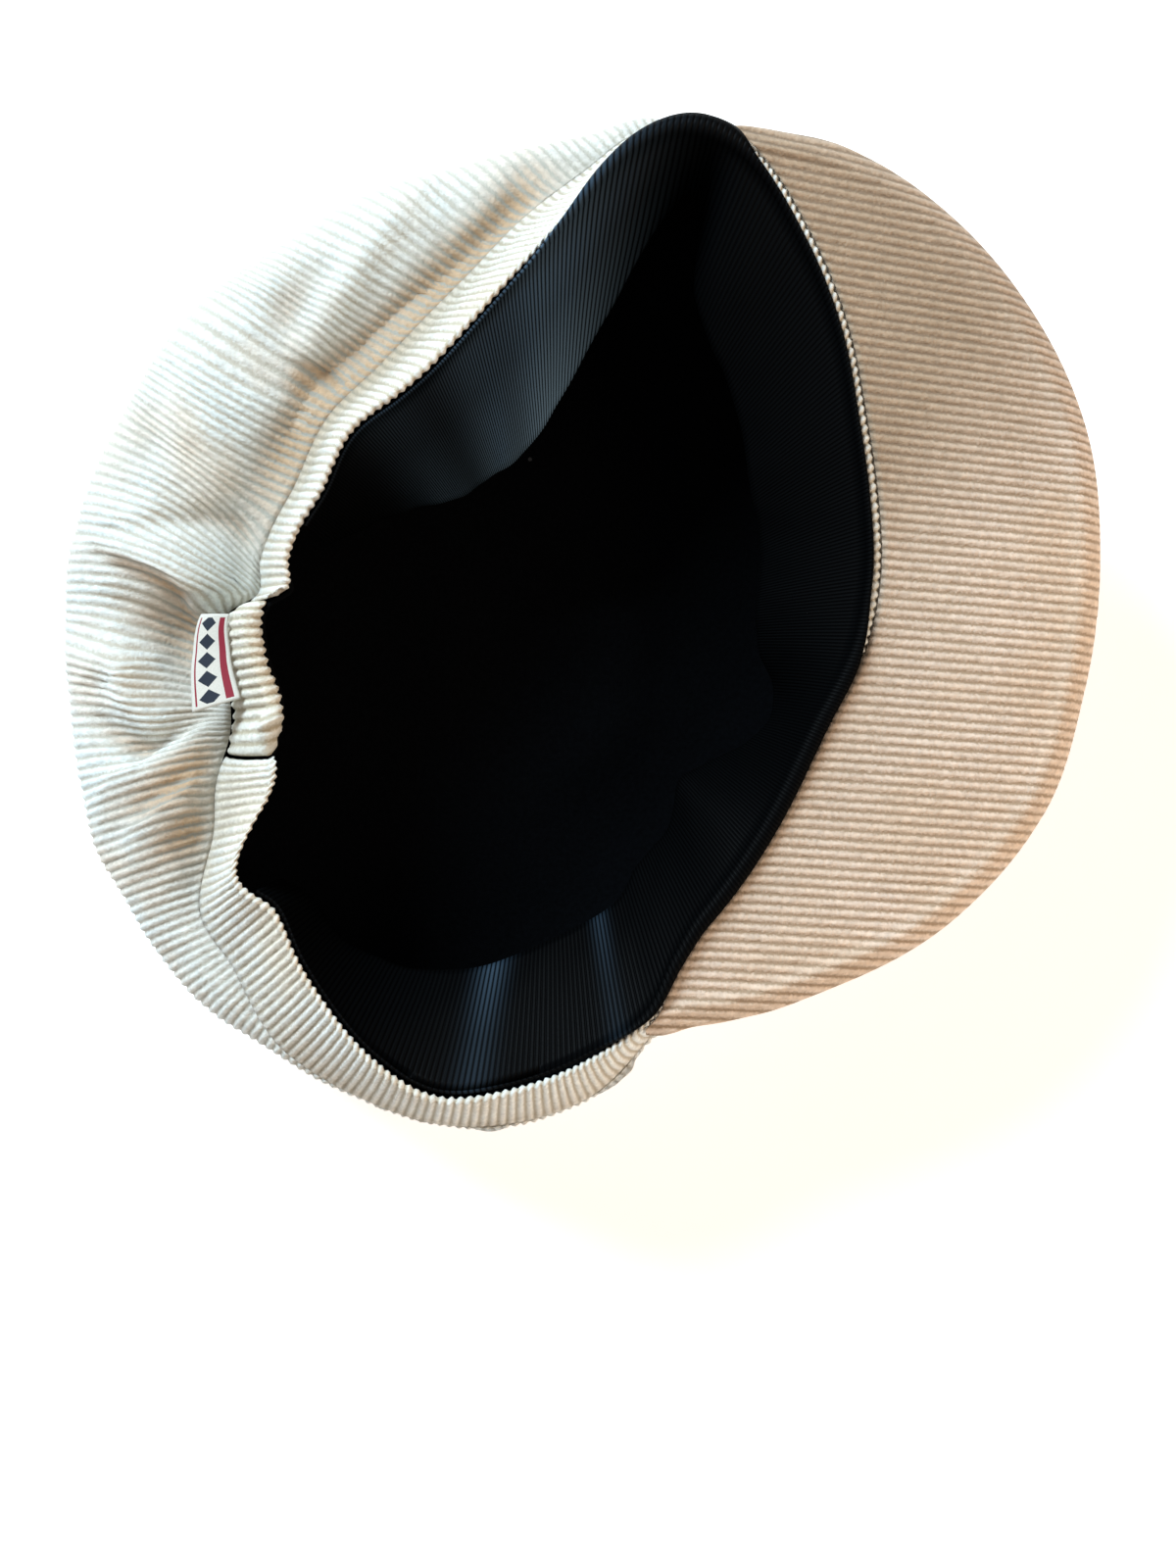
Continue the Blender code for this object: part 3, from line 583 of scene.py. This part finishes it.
def waleLines(insideAt, slopeAt, lowest, highest, perWale, samples):
    # straight wale lines front to back, cut to the part of each that lies inside
    lines = int(round((highest - lowest) / cap["wale"] * perWale)) + 1
    q = np.linspace(lowest, highest, lines)
    x = np.linspace(*cap["span"], 1400)
    y = q[:, None] + np.tan(np.radians(slopeAt(q)))[:, None] * (x[None, :] - cap["openingX"])
    inside = insideAt(x[None, :] + 0 * y, y)
    keep = inside.any(axis=1)
    first = np.argmax(inside, axis=1)
    last = inside.shape[1] - 1 - np.argmax(inside[:, ::-1], axis=1)
    q, first, last = q[keep], x[first[keep]], x[last[keep]]
    share = np.linspace(0, 1, samples)
    gridX = first[:, None] + (last - first)[:, None] * share[None, :]
    gridY = q[:, None] + np.tan(np.radians(slopeAt(q)))[:, None] * (gridX - cap["openingX"])
    phase = (q - lowest) / cap["wale"]
    return gridX, gridY, phase


def polar(x, y):
    return np.degrees(np.arctan2(y, x - cap["openingX"])), np.hypot(x - cap["openingX"], y)


def makeCrownTop():
    size = crownTop
    ends = np.linspace(0, 360, 721)
    edge = Cut(ends).crown(np.full_like(ends, crownSide["endTurn"]))[0]

    def inside(x, y):
        theta, r = polar(x, y)
        return r <= np.interp(theta % 360, ends, edge) - cap["gap"]

    x, y, phase = waleLines(inside, lambda q: 0 * q, *size["sides"], size["columnsPerWale"],
                            size["across"])
    theta, r = polar(x, y)
    cut = Cut(theta)
    draw = np.clip(1 - (cut.widestR - r) / cap["flatInset"], 0, 1)
    z = cap["widestHeight"] * (1 - np.sin(np.arccos(draw)))
    points = np.stack((x, y, z), -1)
    normals = acrossNormals(points, False)
    normals *= -np.sign(normals[len(phase) // 2, size["across"] // 2, 2])
    outer = points - normals * pileDepth(phase, size["across"], 12).T[..., None]
    inner = points - normals * cap["cloth"]
    both = np.concatenate((outer, inner[:, ::-1]), axis=1)
    piece = clothPiece("crown_top_corduroy", np.swapaxes(both, 0, 1), False, True,
                       "crown_top")
    wales = phase[-1] - phase[0]
    # the cool tint of the crest colour is painted cool light
    piece.data.materials.append(corduroy("cottonCorduroyTop", wales, "E3EDEE", "C3BFB3", "E8C6A2"))
    return piece


# Band: upright corduroy, rolled over at the rim so that its wales show as a comb edge.
band = {
    "columnsPerWale": 6, "faceRows": 14, "rollRows": 9, "innerRows": 4, "puff": 0.0010,
    "notchWidth": 1.3, "notchDepth": 0.0040, "endRound": 0.0018,
    # how far the wales lean from straight out, in degrees, by angle
    "lean": ((0, 0), (25, -20), (49, -27), (62, -28), (72, -12), (78, 6), (86, 28), (96, 34),
             (106, 38), (119, 34), (130, 22), (138, 16), (146, 14), (154, 8), (161, 0), (166, -8),
             (176, -8), (182, -4), (195, -14), (208, -18), (212, -18), (218, -13), (224, -12),
             (230, -10), (238, -12), (250, -14), (262, -8), (275, 2), (288, 24), (300, 30),
             (322, 8), (341, 3)),
    # painted shade at the seam, by angle; it clears towards the rim
    "paintedShade": ((0, 0.2), (70, 0.0), (84, 0.1), (98, 0.25), (112, 0.6), (125, 0.9), (150, 0.8), (166, 0.4),
             (178, 0.2), (212, 0.3), (226, 0.1), (245, 0.4), (262, 0.5), (290, 0.4)),
}


def notch(start):
    # the rim dips and draws out beside the ends of the casing
    dip = np.zeros(np.shape(start))
    for end in cap["casingSeam"]:
        away = (start - end + 180) % 360 - 180
        dip += np.exp(-(away / band["notchWidth"])**2)
    return dip


def bandTurn(start, downs, lean):
    # each column's angle on its way from the seam up to the rim, leaning with the wales
    theta, turns = start.copy(), []
    lastR = Cut(theta).band(downs[0])[0]
    for down in downs:
        r = Cut(theta).band(down)[0]
        turned = np.clip(start + lean - theta, -55, 55)
        theta = theta + np.degrees((r - lastR) * np.tan(np.radians(turned)) / r)
        lastR = Cut(theta).band(down)[0]
        turns.append(theta)
    return turns


def bandPoints(start):
    # start is each column's angle at the seam; rows run up to the roll and down inside
    size = band
    downs = np.linspace(cap["bandWidth"], 0, size["faceRows"])
    # the ends beside the casing are rounded off
    ends = [np.abs((start - end + 180) % 360 - 180) for end in cap["casingSeam"]]
    fromEnd = np.radians(np.minimum(*ends)) * cap["rimReach"] * 0.65
    full = np.sqrt(np.clip(1 - (1 - np.minimum(fromEnd / size["endRound"], 1))**2, 0.02, 1))
    radius = cap["roll"] / 2 * full
    thin = cap["cloth"] / 2 * (1 - full)
    points = []
    for down, theta in zip(downs, bandTurn(start, downs, readTable(size["lean"], start)[0])):
        share = down / cap["bandWidth"]
        cut = Cut(theta)
        dip = notch(start) * size["notchDepth"] * (1 - share)
        r, z = cut.band(down, thin - size["puff"] * math.sin(math.pi * share))
        face = place(theta, r + dip * 0.25, z - dip)
        points.append(face + seamFillet(theta, np.full_like(theta, cap["bandWidth"] - down)))
    cut = Cut(theta)
    dip = notch(start) * size["notchDepth"]
    centreR = cut.rimR + cap["roll"] / 2 + dip * 0.25
    centreZ = cut.rimZ - cap["roll"] / 2 - dip
    for turn in np.radians(np.linspace(0, 180, size["rollRows"]))[1:]:
        points.append(place(theta, centreR + radius * math.cos(turn),
                            centreZ + radius * math.sin(turn)))
    for down in np.linspace(0.12, 1.0, size["innerRows"]):
        r, z = cut.band(cap["bandWidth"] * down, cap["cloth"] - thin)
        points.append(place(theta, r + dip * 0.25 * (1 - down), z - dip * (1 - down)))
    return np.array(points)


def makeBand():
    size = band
    gap = math.degrees(cap["seamGap"] / cap["rimReach"]) * 2
    first, last = cap["casingSeam"][1] + gap - 360, cap["casingSeam"][0] - gap

    def lines(angles):
        points = bandPoints(angles)
        return points[0], points[3]

    theta, phase, wales = waleColumns(lines, first, last, size["columnsPerWale"], False)
    points = bandPoints(theta)
    normals = acrossNormals(points, False)
    facing = normals[2, len(theta) // 2] @ np.array([1.0, 0, 0])
    normals *= 1 if facing > 0 else -1
    depth = np.ones(len(points))
    depth[size["faceRows"] + size["rollRows"] - 1:] = 0
    depth[0] = 0
    points -= normals * (pileDepth(phase, len(points), 13) * depth[:, None])[..., None]
    # painted shade near the seam, fading out up the band's face
    clear = np.clip(1 - np.arange(len(points)) / (size["faceRows"] * 0.8), 0, 1)
    shade = clear[:, None] * readTable(size["paintedShade"], theta)[0][None, :]
    piece = clothPiece("band_corduroy", points, False, True, "band", shade)
    piece.data.materials.append(corduroy("cottonCorduroyBand", wales, "E9ECE9", "BDB29E", "E3CDAE"))
    return theta, phase


# Elastic casing: a cloth tube drawn together on the elastic at the back of the band.
casing = {"swell": 0.0026, "inward": 0.5, "wales": 15, "columnsPerWale": 8, "ringRows": 34,
          "faceRows": 9, "gather": 0.0007, "knotAt": 206.5, "knotWidth": 1.7,
          "knotSize": 0.0026, "endShare": 0.45, "pinch": 0.0006, "lean": (-8.0, -17.5)}


def makeCasing():
    size = casing
    columns = size["wales"] * size["columnsPerWale"] + 1
    foot = np.linspace(*cap["casingSeam"], columns)
    downs = np.linspace(cap["bandWidth"], 0, band["faceRows"])
    turned = np.array(bandTurn(foot, downs, np.linspace(*size["lean"], columns)))
    share = np.linspace(0, 1, columns)
    thin = size["endShare"]
    taper = np.minimum(1, thin + (1 - thin) * np.sqrt(np.minimum(share, 1 - share) / 0.07))
    gather = size["gather"] * smoothNoise(share * 22, 0 * share, 4)
    half = (size["swell"] + gather) * taper
    sunk = size["swell"] * size["inward"]
    dip = notch(foot) * band["notchDepth"]
    knot = np.exp(-((turned[-1] - size["knotAt"]) / size["knotWidth"])**2) * size["knotSize"]
    wales = np.arange(columns) / size["columnsPerWale"]
    turns = size["ringRows"] // 2
    rib = -pileDepth(wales, 2 * turns + size["faceRows"], 14) * 1.2
    # the tube's outline as places down the band and depths into it: over its head, up
    # round its foot and along its face, pinched there where the elastic is stitched
    outline = []
    for row, turn in enumerate(np.linspace(0, 2 * math.pi, 2 * turns)):
        head = turn < math.pi
        centre = half if head else cap["bandWidth"] - half - cap["seamGap"]
        out = half + rib[row] + knot * head * max(0, math.cos(turn - 0.9))
        # the foot is squarer, against its seam
        up = math.sin(turn) if head else -abs(math.sin(turn))**0.6
        outline.append((centre - out * up, sunk - out * math.cos(turn)))
    for row, t in enumerate(np.linspace(0, 1, size["faceRows"])[1:-1]):
        down = (cap["bandWidth"] - half - cap["seamGap"]) * (1 - t) + half * t
        pinch = size["pinch"] * math.sin(math.pi * t)
        outline.append((down, sunk - half - rib[2 * turns + row] - pinch))
    points = []
    for down, depth in outline:
        step = np.clip(down / cap["bandWidth"], 0, 1) * (len(downs) - 1)
        low = np.minimum(step.astype(int), len(downs) - 2)
        mix = step - low
        at = np.arange(columns)
        theta = turned[::-1][low, at] * (1 - mix) + turned[::-1][low + 1, at] * mix
        r, z = Cut(theta).band(down, depth)
        fall = dip * (1 - step / (len(downs) - 1))
        points.append(place(theta, r + fall * 0.25, z - fall))
    points = np.array(points)
    piece = clothPiece("elastic_casing_gathers", points, False, True, "elastic_casing")
    piece.data.materials.append(corduroy("cottonCorduroyCasing", size["wales"], "E4E4DC",
                                         "B6AC96", "E2D2B8"))
    return piece


# Peak: a stiff board covered on both sides, wales front to back, its front edge bent down.
peak = {
    "depth": 0.0525, "board": 0.0036, "sink": 0.0012, "seamSink": 0.0003, "drop": 0.0045,
    "columnsPerWale": 6, "samples": 34, "sides": (-0.115, 0.125), "edgeRound": 0.10,
    "rimStrip": 0.0050,
    "outline": ((-72, 0.03), (-61, 0.37), (-49, 0.59), (-33, 0.855), (-17, 1.00), (-3, 0.96),
                (11, 0.95), (24, 0.945), (37, 0.835), (51, 0.60), (62, 0.36), (69, 0.15),
                (74, 0.03)),
    # how far the wales turn from straight front to back, by the line's place from side to side
    "slope": ((-0.11, 2), (-0.04, 1), (0.02, 0), (0.06, -2), (0.12, -6)),
}


def makePeak():
    size = peak
    firstAngle, lastAngle = size["outline"][0][0], size["outline"][-1][0]
    dense = np.linspace(firstAngle, lastAngle, 600)
    depth = readTable(size["outline"], dense, False)[0] * size["depth"]
    cut = Cut(dense)
    inner = cut.shoulderR + cap["seamGap"] / np.cos(cut.lean)

    def inside(x, y):
        theta, r = polar(x, y)
        low = np.interp(theta, dense, inner, left=1, right=1)
        high = np.interp(theta, dense, inner + depth, left=0, right=0)
        return (r >= low) & (r <= high)

    def slopeAt(q):
        return readTable(size["slope"], q, False)[0]

    x, y, phase = waleLines(inside, slopeAt, *size["sides"], size["columnsPerWale"], size["samples"])
    theta, r = polar(x, y)
    low = np.interp(theta, dense, inner)
    span = np.interp(theta, dense, depth)
    share = np.clip((r - low) / span, 0, 1)
    here = Cut(theta)
    bend = size["drop"] * (span / size["depth"])**2
    sink = size["sink"] + (size["seamSink"] - size["sink"]) * np.exp(-share * span / 0.004)
    top = here.shoulderZ - sink + cap["roll"] / 2 - bend * share**3
    # the board stops short of the sewn edge, which leaves a ridge and a softer strip
    fromEdge = np.clip((1 - share) * span, 0, 1)
    top = top + 0.0008 * np.exp(-((fromEdge - size["rimStrip"]) / 0.0016)**2)
    top = top - 0.0014 * np.exp(-(fromEdge / 0.0024)**2)
    board = np.minimum(size["board"], span)
    u = np.clip((share - 1 + size["edgeRound"]) / size["edgeRound"], 0, 1)
    half = board / 2 * np.sqrt(np.clip(1 - u**2.4, 0, 1))
    middle = top - board / 2
    shift = np.tan(here.lean) * board * (1 - share)
    away = np.stack((np.cos(np.radians(theta)), np.sin(np.radians(theta)), 0 * theta), -1)
    rib = pileDepth(phase, size["samples"], 15).T * 0.9 * np.clip(half / board * 2, 0, 1)
    upper = np.stack((x, y, middle + half - rib), -1)
    under = np.stack((x, y, middle - half + rib), -1) + away * shift[..., None]
    both = np.concatenate((upper, under[:, ::-1]), axis=1)
    # painted shade: darker beside the band and towards its left corner, with a painted highlight,
    # lighter, along its outer edge
    paintedShadeAndEdgeLight = np.clip((theta - 12) / 28, 0, 1) + np.clip(0.5 - share, 0, 1) * 0.8
    paintedShadeAndEdgeLight = np.clip(paintedShadeAndEdgeLight, 0, 1) - 0.35 * np.clip(share * 3 - 2, 0, 1)
    shade = np.concatenate((paintedShadeAndEdgeLight, paintedShadeAndEdgeLight[:, ::-1]), axis=1).T
    piece = clothPiece("peak_corduroy", np.swapaxes(both, 0, 1), False, True, "peak",
                       shade)
    wales = phase[-1] - phase[0]
    # the peak's cloth is the crown's cream corduroy; its warmer colours and darker grooves are painted
    # warm light and shade
    piece.data.materials.append(corduroy("cottonCorduroyPeak", wales, "E4D1C1", "A6917B", "D6BCA1"))
    return piece


# Sweatband: grosgrain ribbon sewn inside the rolled rim, its free edge loose.
sweatband = {
    "width": 0.032, "cloth": 0.0007, "columns": 900, "rows": 22, "lapRows": 6, "rib": 0.00102,
    "sag": 0.07, "ripple": 0.0006,
    # angle, half width and strength of the painted sheen bands where the ribbon bends
    "bends": ((-94, 2.2, 0.26), (-75.6, 1.5, 0.14), (95, 9.0, 1.0), (112, 9.0, 0.5), (134, 9.0, 0.22)),
    # angle, how far the free edge lies in from the rim and under it, as shares of the width
    "edge": (
        (-131, 0.06, 1.00), (-119, 0.20, 0.96), (-110, 0.44, 0.88), (-96, 0.84, 0.62),
        (-74, 0.80, 0.62), (-57, 0.54, 0.82), (-46, 0.66, 0.72), (-24, 0.26, 0.95),
        (-14, 0.28, 0.95), (-2, 0.60, 0.80), (8, 0.70, 0.72), (25, 0.70, 0.70),
        (41, 0.80, 0.66), (57, 0.86, 0.66), (70, 0.84, 0.66), (76.5, 0.18, 0.92),
        (84, 1.00, 0.66), (95, 1.06, 0.66), (106, 0.93, 0.66), (118, 0.76, 0.72),
        (141, 0.60, 0.80), (155, 0.28, 0.95), (166, 0.06, 1.00)),
    # angle, how far the ribbon laps over the roll, from 0 at its inner side to 1 right over
    "lap": ((-131, 0.15), (-80, 0.15), (-66, 0.70), (-10, 0.70), (0, 0.55), (8, 0.40),
            (62, 0.40), (70, 0.50), (75, 1.0), (86, 1.0), (92, 0.55), (100, 0.15), (166, 0.15)),
}


def makeSweatband():
    size = sweatband
    first, last = size["edge"][0][0], size["edge"][-1][0]
    theta = np.linspace(first, last, size["columns"])
    cut = Cut(theta)
    inward, drop = readTable(size["edge"], theta, False)
    lap = readTable(size["lap"], theta, False)[0]
    radius = cap["roll"] / 2 + cap["gap"] + size["cloth"]
    centreR, centreZ = cut.rimR + cap["roll"] / 2, cut.rimZ - cap["roll"] / 2
    rows = []
    lapRows = size["lapRows"]
    for t in np.linspace(0, 1, lapRows):
        turn = np.radians(180 - 175 * lap * (1 - t))
        rows.append((centreR + np.cos(turn) * radius, centreZ + np.sin(turn) * radius))
    topR, topZ = rows[-1]
    endR = cut.rimR - inward * size["width"]
    endZ = cut.rimZ - drop * size["width"]
    for t in np.linspace(0, 1, size["rows"] - lapRows + 1)[1:]:
        sag = size["sag"] * size["width"] * 4 * t * (1 - t)
        rows.append((topR + (endR - topR) * t - inward * sag,
                     topZ + (endZ - topZ) * t + drop * sag * 0.3))
    points = np.array([place(theta, r, z) for r, z in rows])
    # slow ripples across the ribbon, none at the sewn edge
    share = np.clip(np.linspace(-0.3, 1, size["rows"]), 0, 1)[:, None]
    normals = acrossNormals(points, False)
    ripple = size["ripple"] * smoothNoise(theta[None, :] / 6, share * 2, 7) * share
    points += normals * ripple[..., None]
    run = np.linalg.norm(np.diff(points[lapRows], axis=0), axis=1).sum()
    # painted sheen: bands along the ribbon, weaker at the sewn edge, go to the shade attribute
    bend = sum(much * np.exp(-((theta - at) / wide)**2) for at, wide, much in size["bends"])
    piece = clothPiece("sweatband_ribbon", points, False, False, "sweatband",
                       bend[None, :] * np.maximum(share, 0.35))
    wall = piece.modifiers.new("ribbon cloth", "SOLIDIFY")
    wall.thickness, wall.offset = size["cloth"], 0.0
    piece.data.materials.append(grosgrain("rayonGrosgrain", run / size["rib"]))
    return piece


# Lining: black knit that hangs loose inside the crown, with soft ridges on its floor.
lining = {
    "cloth": 0.0010, "ease": 0.0042, "start": 0.0045, "columns": 300,
    "folds": (
        ("frontRidge", ((28, 0.10), (4, 0.34), (318, 0.40)), (0.008, 0.010), 0.0060, 0.0, 0.0),
        ("lowRidge", ((330, 0.62), (300, 0.55), (275, 0.52)), (0.008, 0.009), 0.0050, 0.0, 0.0),
        ("backRidge", ((150, 0.60), (185, 0.35), (225, 0.55)), (0.012, 0.012), 0.0042, 0.0, 0.0),
    ),
}


def floorReach(angles, share):
    return Cut(angles).crown(np.full_like(angles, 180.0))[0] * share


def makeLining():
    size = lining
    theta = np.arange(size["columns"]) / size["columns"] * 360.0
    cut = Cut(theta)
    swell = casing["swell"] * (1 + casing["inward"]) + casing["gather"]
    away = np.abs((theta - sum(cap["casing"]) / 2 + 180) % 360 - 180)
    away = away - (cap["casing"][1] - cap["casing"][0]) / 2
    share = np.clip(1 - away / 5.0, 0, 1)
    rows = []
    for down, wallDepth in ((size["start"], cap["roll"]), (0.010, cap["cloth"]),
                            (0.018, cap["cloth"]), (cap["bandWidth"] + cap["cloth"], cap["cloth"])):
        depth = wallDepth + np.maximum(swell - wallDepth, 0) * share + cap["gap"]
        rows.append(cut.band(down, depth))
    for turn in np.linspace(14, 152, 17):
        r, z = cut.crown(np.full_like(theta, turn))
        r2, z2 = cut.crown(np.full_like(theta, turn + 2.0))
        long = np.hypot(r2 - r, z2 - z)
        ease = cap["cloth"] + cap["gap"] + size["ease"] * (1 if turn < 98 else
                                                           1 - 0.7 * (turn - 98) / 54)
        nr, nz = (z2 - z) / long * ease, -(r2 - r) / long * ease
        rows.append((r + nr, np.maximum(z + nz, cap["cloth"] + cap["gap"])))
    floor = cap["cloth"] + cap["gap"]
    edge = cut.crown(np.full_like(theta, 180.0))[0]
    lastR = rows[-1][0]
    for t in np.linspace(0.94, 0.0, 16):
        rows.append((np.minimum(edge, lastR) * t, floor + 0 * theta))
    points = np.array([place(theta, r, z) for r, z in rows])
    along = np.linspace(0, 1, len(rows))[:, None]
    lift = foldShift(points[..., 0], points[..., 1], size["folds"], floorReach)[0][..., 2]
    points[..., 2] += lift * np.clip(2 * along - 0.9, 0, 1)
    piece = clothPiece("lining_knit", points, True, False, "lining")
    wall = piece.modifiers.new("knit cloth", "SOLIDIFY")
    wall.thickness, wall.offset = size["cloth"], 1.0
    piece.data.materials.append(knit("brushedCottonKnit"))
    return piece


# Label: a small folded ribbon woven in navy and red on off-white, out from under the casing.
label = {"length": 0.020, "depth": (0.0066, 0.0118), "cloth": 0.0010, "down": 0.45, "slope": 12.0,
         "middle": 192.5, "belly": 0.0006, "columns": 40, "rows": 20, "lozenges": 5}


def makeLabel():
    size = label
    reach = float(Cut(np.array([size["middle"]])).seamR[0])
    half = math.degrees(size["length"] / reach) / 2
    theta = np.linspace(size["middle"] - half, size["middle"] + half, size["columns"])
    cut = Cut(theta)
    lift = casing["swell"] * (1 - casing["inward"]) + casing["gather"] + cap["gap"]
    rootR, rootZ = cut.band(cap["bandWidth"] * size["down"], -lift)
    slope = math.radians(size["slope"])
    depth = np.linspace(*size["depth"], len(theta))
    rows = []
    for t in np.linspace(0, 1, size["rows"]):
        belly = size["belly"] * math.sin(math.pi * t)
        rows.append((rootR + math.cos(slope) * depth * t, rootZ - math.sin(slope) * depth * t + belly))
    points = np.array([place(theta, r, z) for r, z in rows])
    piece = clothPiece("label_woven", points, False, False, "label")
    wall = piece.modifiers.new("folded ribbon", "SOLIDIFY")
    wall.thickness, wall.offset = size["cloth"] * 0.6, 0.0
    piece.data.materials.append(wovenLabel("damaskLabel"))
    return piece


# Damask woven polyester, figures woven in with the ground. To the eye: smooth, slightly
# silky off-white with crisp navy and red figures and a fine thread grain.
def wovenLabel(name):
    made = newMaterial(name)
    tree = made.node_tree
    uv = add(tree, "ShaderNodeUVMap", uv_map="weave")
    split = add(tree, "ShaderNodeSeparateXYZ", {0: uv.outputs[0]})
    along, out = split.outputs[0], split.outputs[1]

    def between(socket, low, high):
        over = add(tree, "ShaderNodeMath", {0: socket, 1: low}, operation="GREATER_THAN")
        under = add(tree, "ShaderNodeMath", {0: socket, 1: high}, operation="LESS_THAN")
        return add(tree, "ShaderNodeMath", {0: over.outputs[0], 1: under.outputs[0]},
                   operation="MULTIPLY").outputs[0]

    # navy lozenges in a row, a broad red band beside them and a thin one outside
    times = add(tree, "ShaderNodeMath", {0: along, 1: label["lozenges"]}, operation="MULTIPLY")
    local = add(tree, "ShaderNodeMath", {0: times.outputs[0], 1: 0.5}, operation="PINGPONG")
    centre = add(tree, "ShaderNodeMath", {0: 0.5, 1: local.outputs[0]}, operation="SUBTRACT")
    side = add(tree, "ShaderNodeMath", {0: out, 1: 0.60}, operation="SUBTRACT")
    side = add(tree, "ShaderNodeMath", {0: side.outputs[0]}, operation="ABSOLUTE")
    side = add(tree, "ShaderNodeMath", {0: side.outputs[0], 1: 1.9}, operation="MULTIPLY")
    total = add(tree, "ShaderNodeMath", {0: centre.outputs[0], 1: side.outputs[0]}, operation="ADD")
    lozenge = add(tree, "ShaderNodeMath", {0: total.outputs[0], 1: 0.44}, operation="LESS_THAN")
    inset = between(along, 0.04, 0.96)
    lozenge = add(tree, "ShaderNodeMath", {0: lozenge.outputs[0], 1: inset}, operation="MULTIPLY")
    lineA = add(tree, "ShaderNodeMath", {0: between(out, 0.10, 0.27), 1: inset}, operation="MULTIPLY")
    lineB = add(tree, "ShaderNodeMath", {0: between(out, 0.88, 0.92), 1: inset}, operation="MULTIPLY")
    lines = add(tree, "ShaderNodeMath", {0: lineA.outputs[0], 1: lineB.outputs[0]}, operation="MAXIMUM")
    spot = add(tree, "ShaderNodeTexCoord").outputs["Object"]
    thread = add(tree, "ShaderNodeTexNoise", {"Vector": spot, "Scale": 3500.0, "Detail": 1.0})
    ground = add(tree, "ShaderNodeMix", {0: thread.outputs[0], 6: linear("C9C5BB"),
                                         7: linear("E2DFD7")}, data_type="RGBA")
    red = add(tree, "ShaderNodeMix", {0: lines.outputs[0], 6: ground.outputs[2],
                                      7: linear("8E1F33")}, data_type="RGBA")
    navy = add(tree, "ShaderNodeMix", {0: lozenge.outputs[0], 6: red.outputs[2],
                                       7: linear("1B2433")}, data_type="RGBA")
    bump = add(tree, "ShaderNodeBump", {"Height": thread.outputs[0], "Strength": 0.3,
                                        "Distance": 0.0001})
    shader = add(tree, "ShaderNodeBsdfPrincipled", {
        "Base Color": navy.outputs[2], "Roughness": 0.6, "Specular IOR Level": 0.35,
        "Normal": bump.outputs[0]})
    add(tree, "ShaderNodeOutputMaterial", {0: shader.outputs[0]})
    return made


makeCrownTop()
bandTheta, bandPhase = makeBand()
makeCrownSide(bandTheta, bandPhase)
makeCasing()
makePeak()
makeSweatband()
makeLining()
makeLabel()

# Table, light and camera
studio = {
    "floorSize": 3.0, "glow": 0.45, "world": ("FFF6EC", 0.36),
    # name, place, size, watts, colour
    "lights": (("window", (-0.70, 0.66, 0.80), 0.6, 21.0, "DDF2FF"),
               ("fill", (1.00, -0.25, 0.75), 1.1, 8.0, "FFE3C4")),
    "lookDown": (0.028, -0.037, 0.520), "turn": 5.0, "lens": 2137 / 1200 * 36,
}


def makeStudio():
    size = studio
    shape = bmesh.new()
    bmesh.ops.create_grid(shape, x_segments=1, y_segments=1, size=size["floorSize"] / 2)
    mesh = bpy.data.meshes.new("table_top")
    shape.to_mesh(mesh)
    shape.free()
    floor = bpy.data.objects.new("table_top", mesh)
    floor.location.z = -0.0002
    bpy.context.scene.collection.objects.link(floor)
    # Opal acrylic of a product table, lit a little from below: plain white to the eye.
    white = newMaterial("opalAcrylic")
    shader = add(white.node_tree, "ShaderNodeBsdfPrincipled", {
        "Base Color": linear("FAFAFA"), "Roughness": 0.8, "Specular IOR Level": 0.1,
        "Emission Color": linear("FFFFFF"), "Emission Strength": size["glow"]})
    add(white.node_tree, "ShaderNodeOutputMaterial", {0: shader.outputs[0]})
    mesh.materials.append(white)
    for name, spot, wide, watts, colour in size["lights"]:
        data = bpy.data.lights.new(name, "AREA")
        data.shape, data.size, data.energy = "DISK", wide, watts
        data.color = linear(colour)[:3]
        lamp = bpy.data.objects.new(name, data)
        lamp.location = spot
        lamp.rotation_euler = (-lamp.location).to_track_quat("-Z", "Y").to_euler()
        bpy.context.scene.collection.objects.link(lamp)
    world = bpy.data.worlds.new("softRoom")
    world.use_nodes = True
    back = world.node_tree.nodes["Background"]
    back.inputs[0].default_value = linear(size["world"][0])
    back.inputs[1].default_value = size["world"][1]
    bpy.context.scene.world = world
    data = bpy.data.cameras.new("camera")
    data.sensor_fit, data.sensor_width, data.lens = "HORIZONTAL", 36.0, size["lens"]
    eye = bpy.data.objects.new("camera", data)
    eye.location = size["lookDown"]
    eye.rotation_euler = (0, 0, math.radians(size["turn"]))
    bpy.context.scene.collection.objects.link(eye)
    bpy.context.scene.camera = eye
    bpy.context.scene.view_settings.view_transform = "Standard"


makeStudio()
print("studio made")
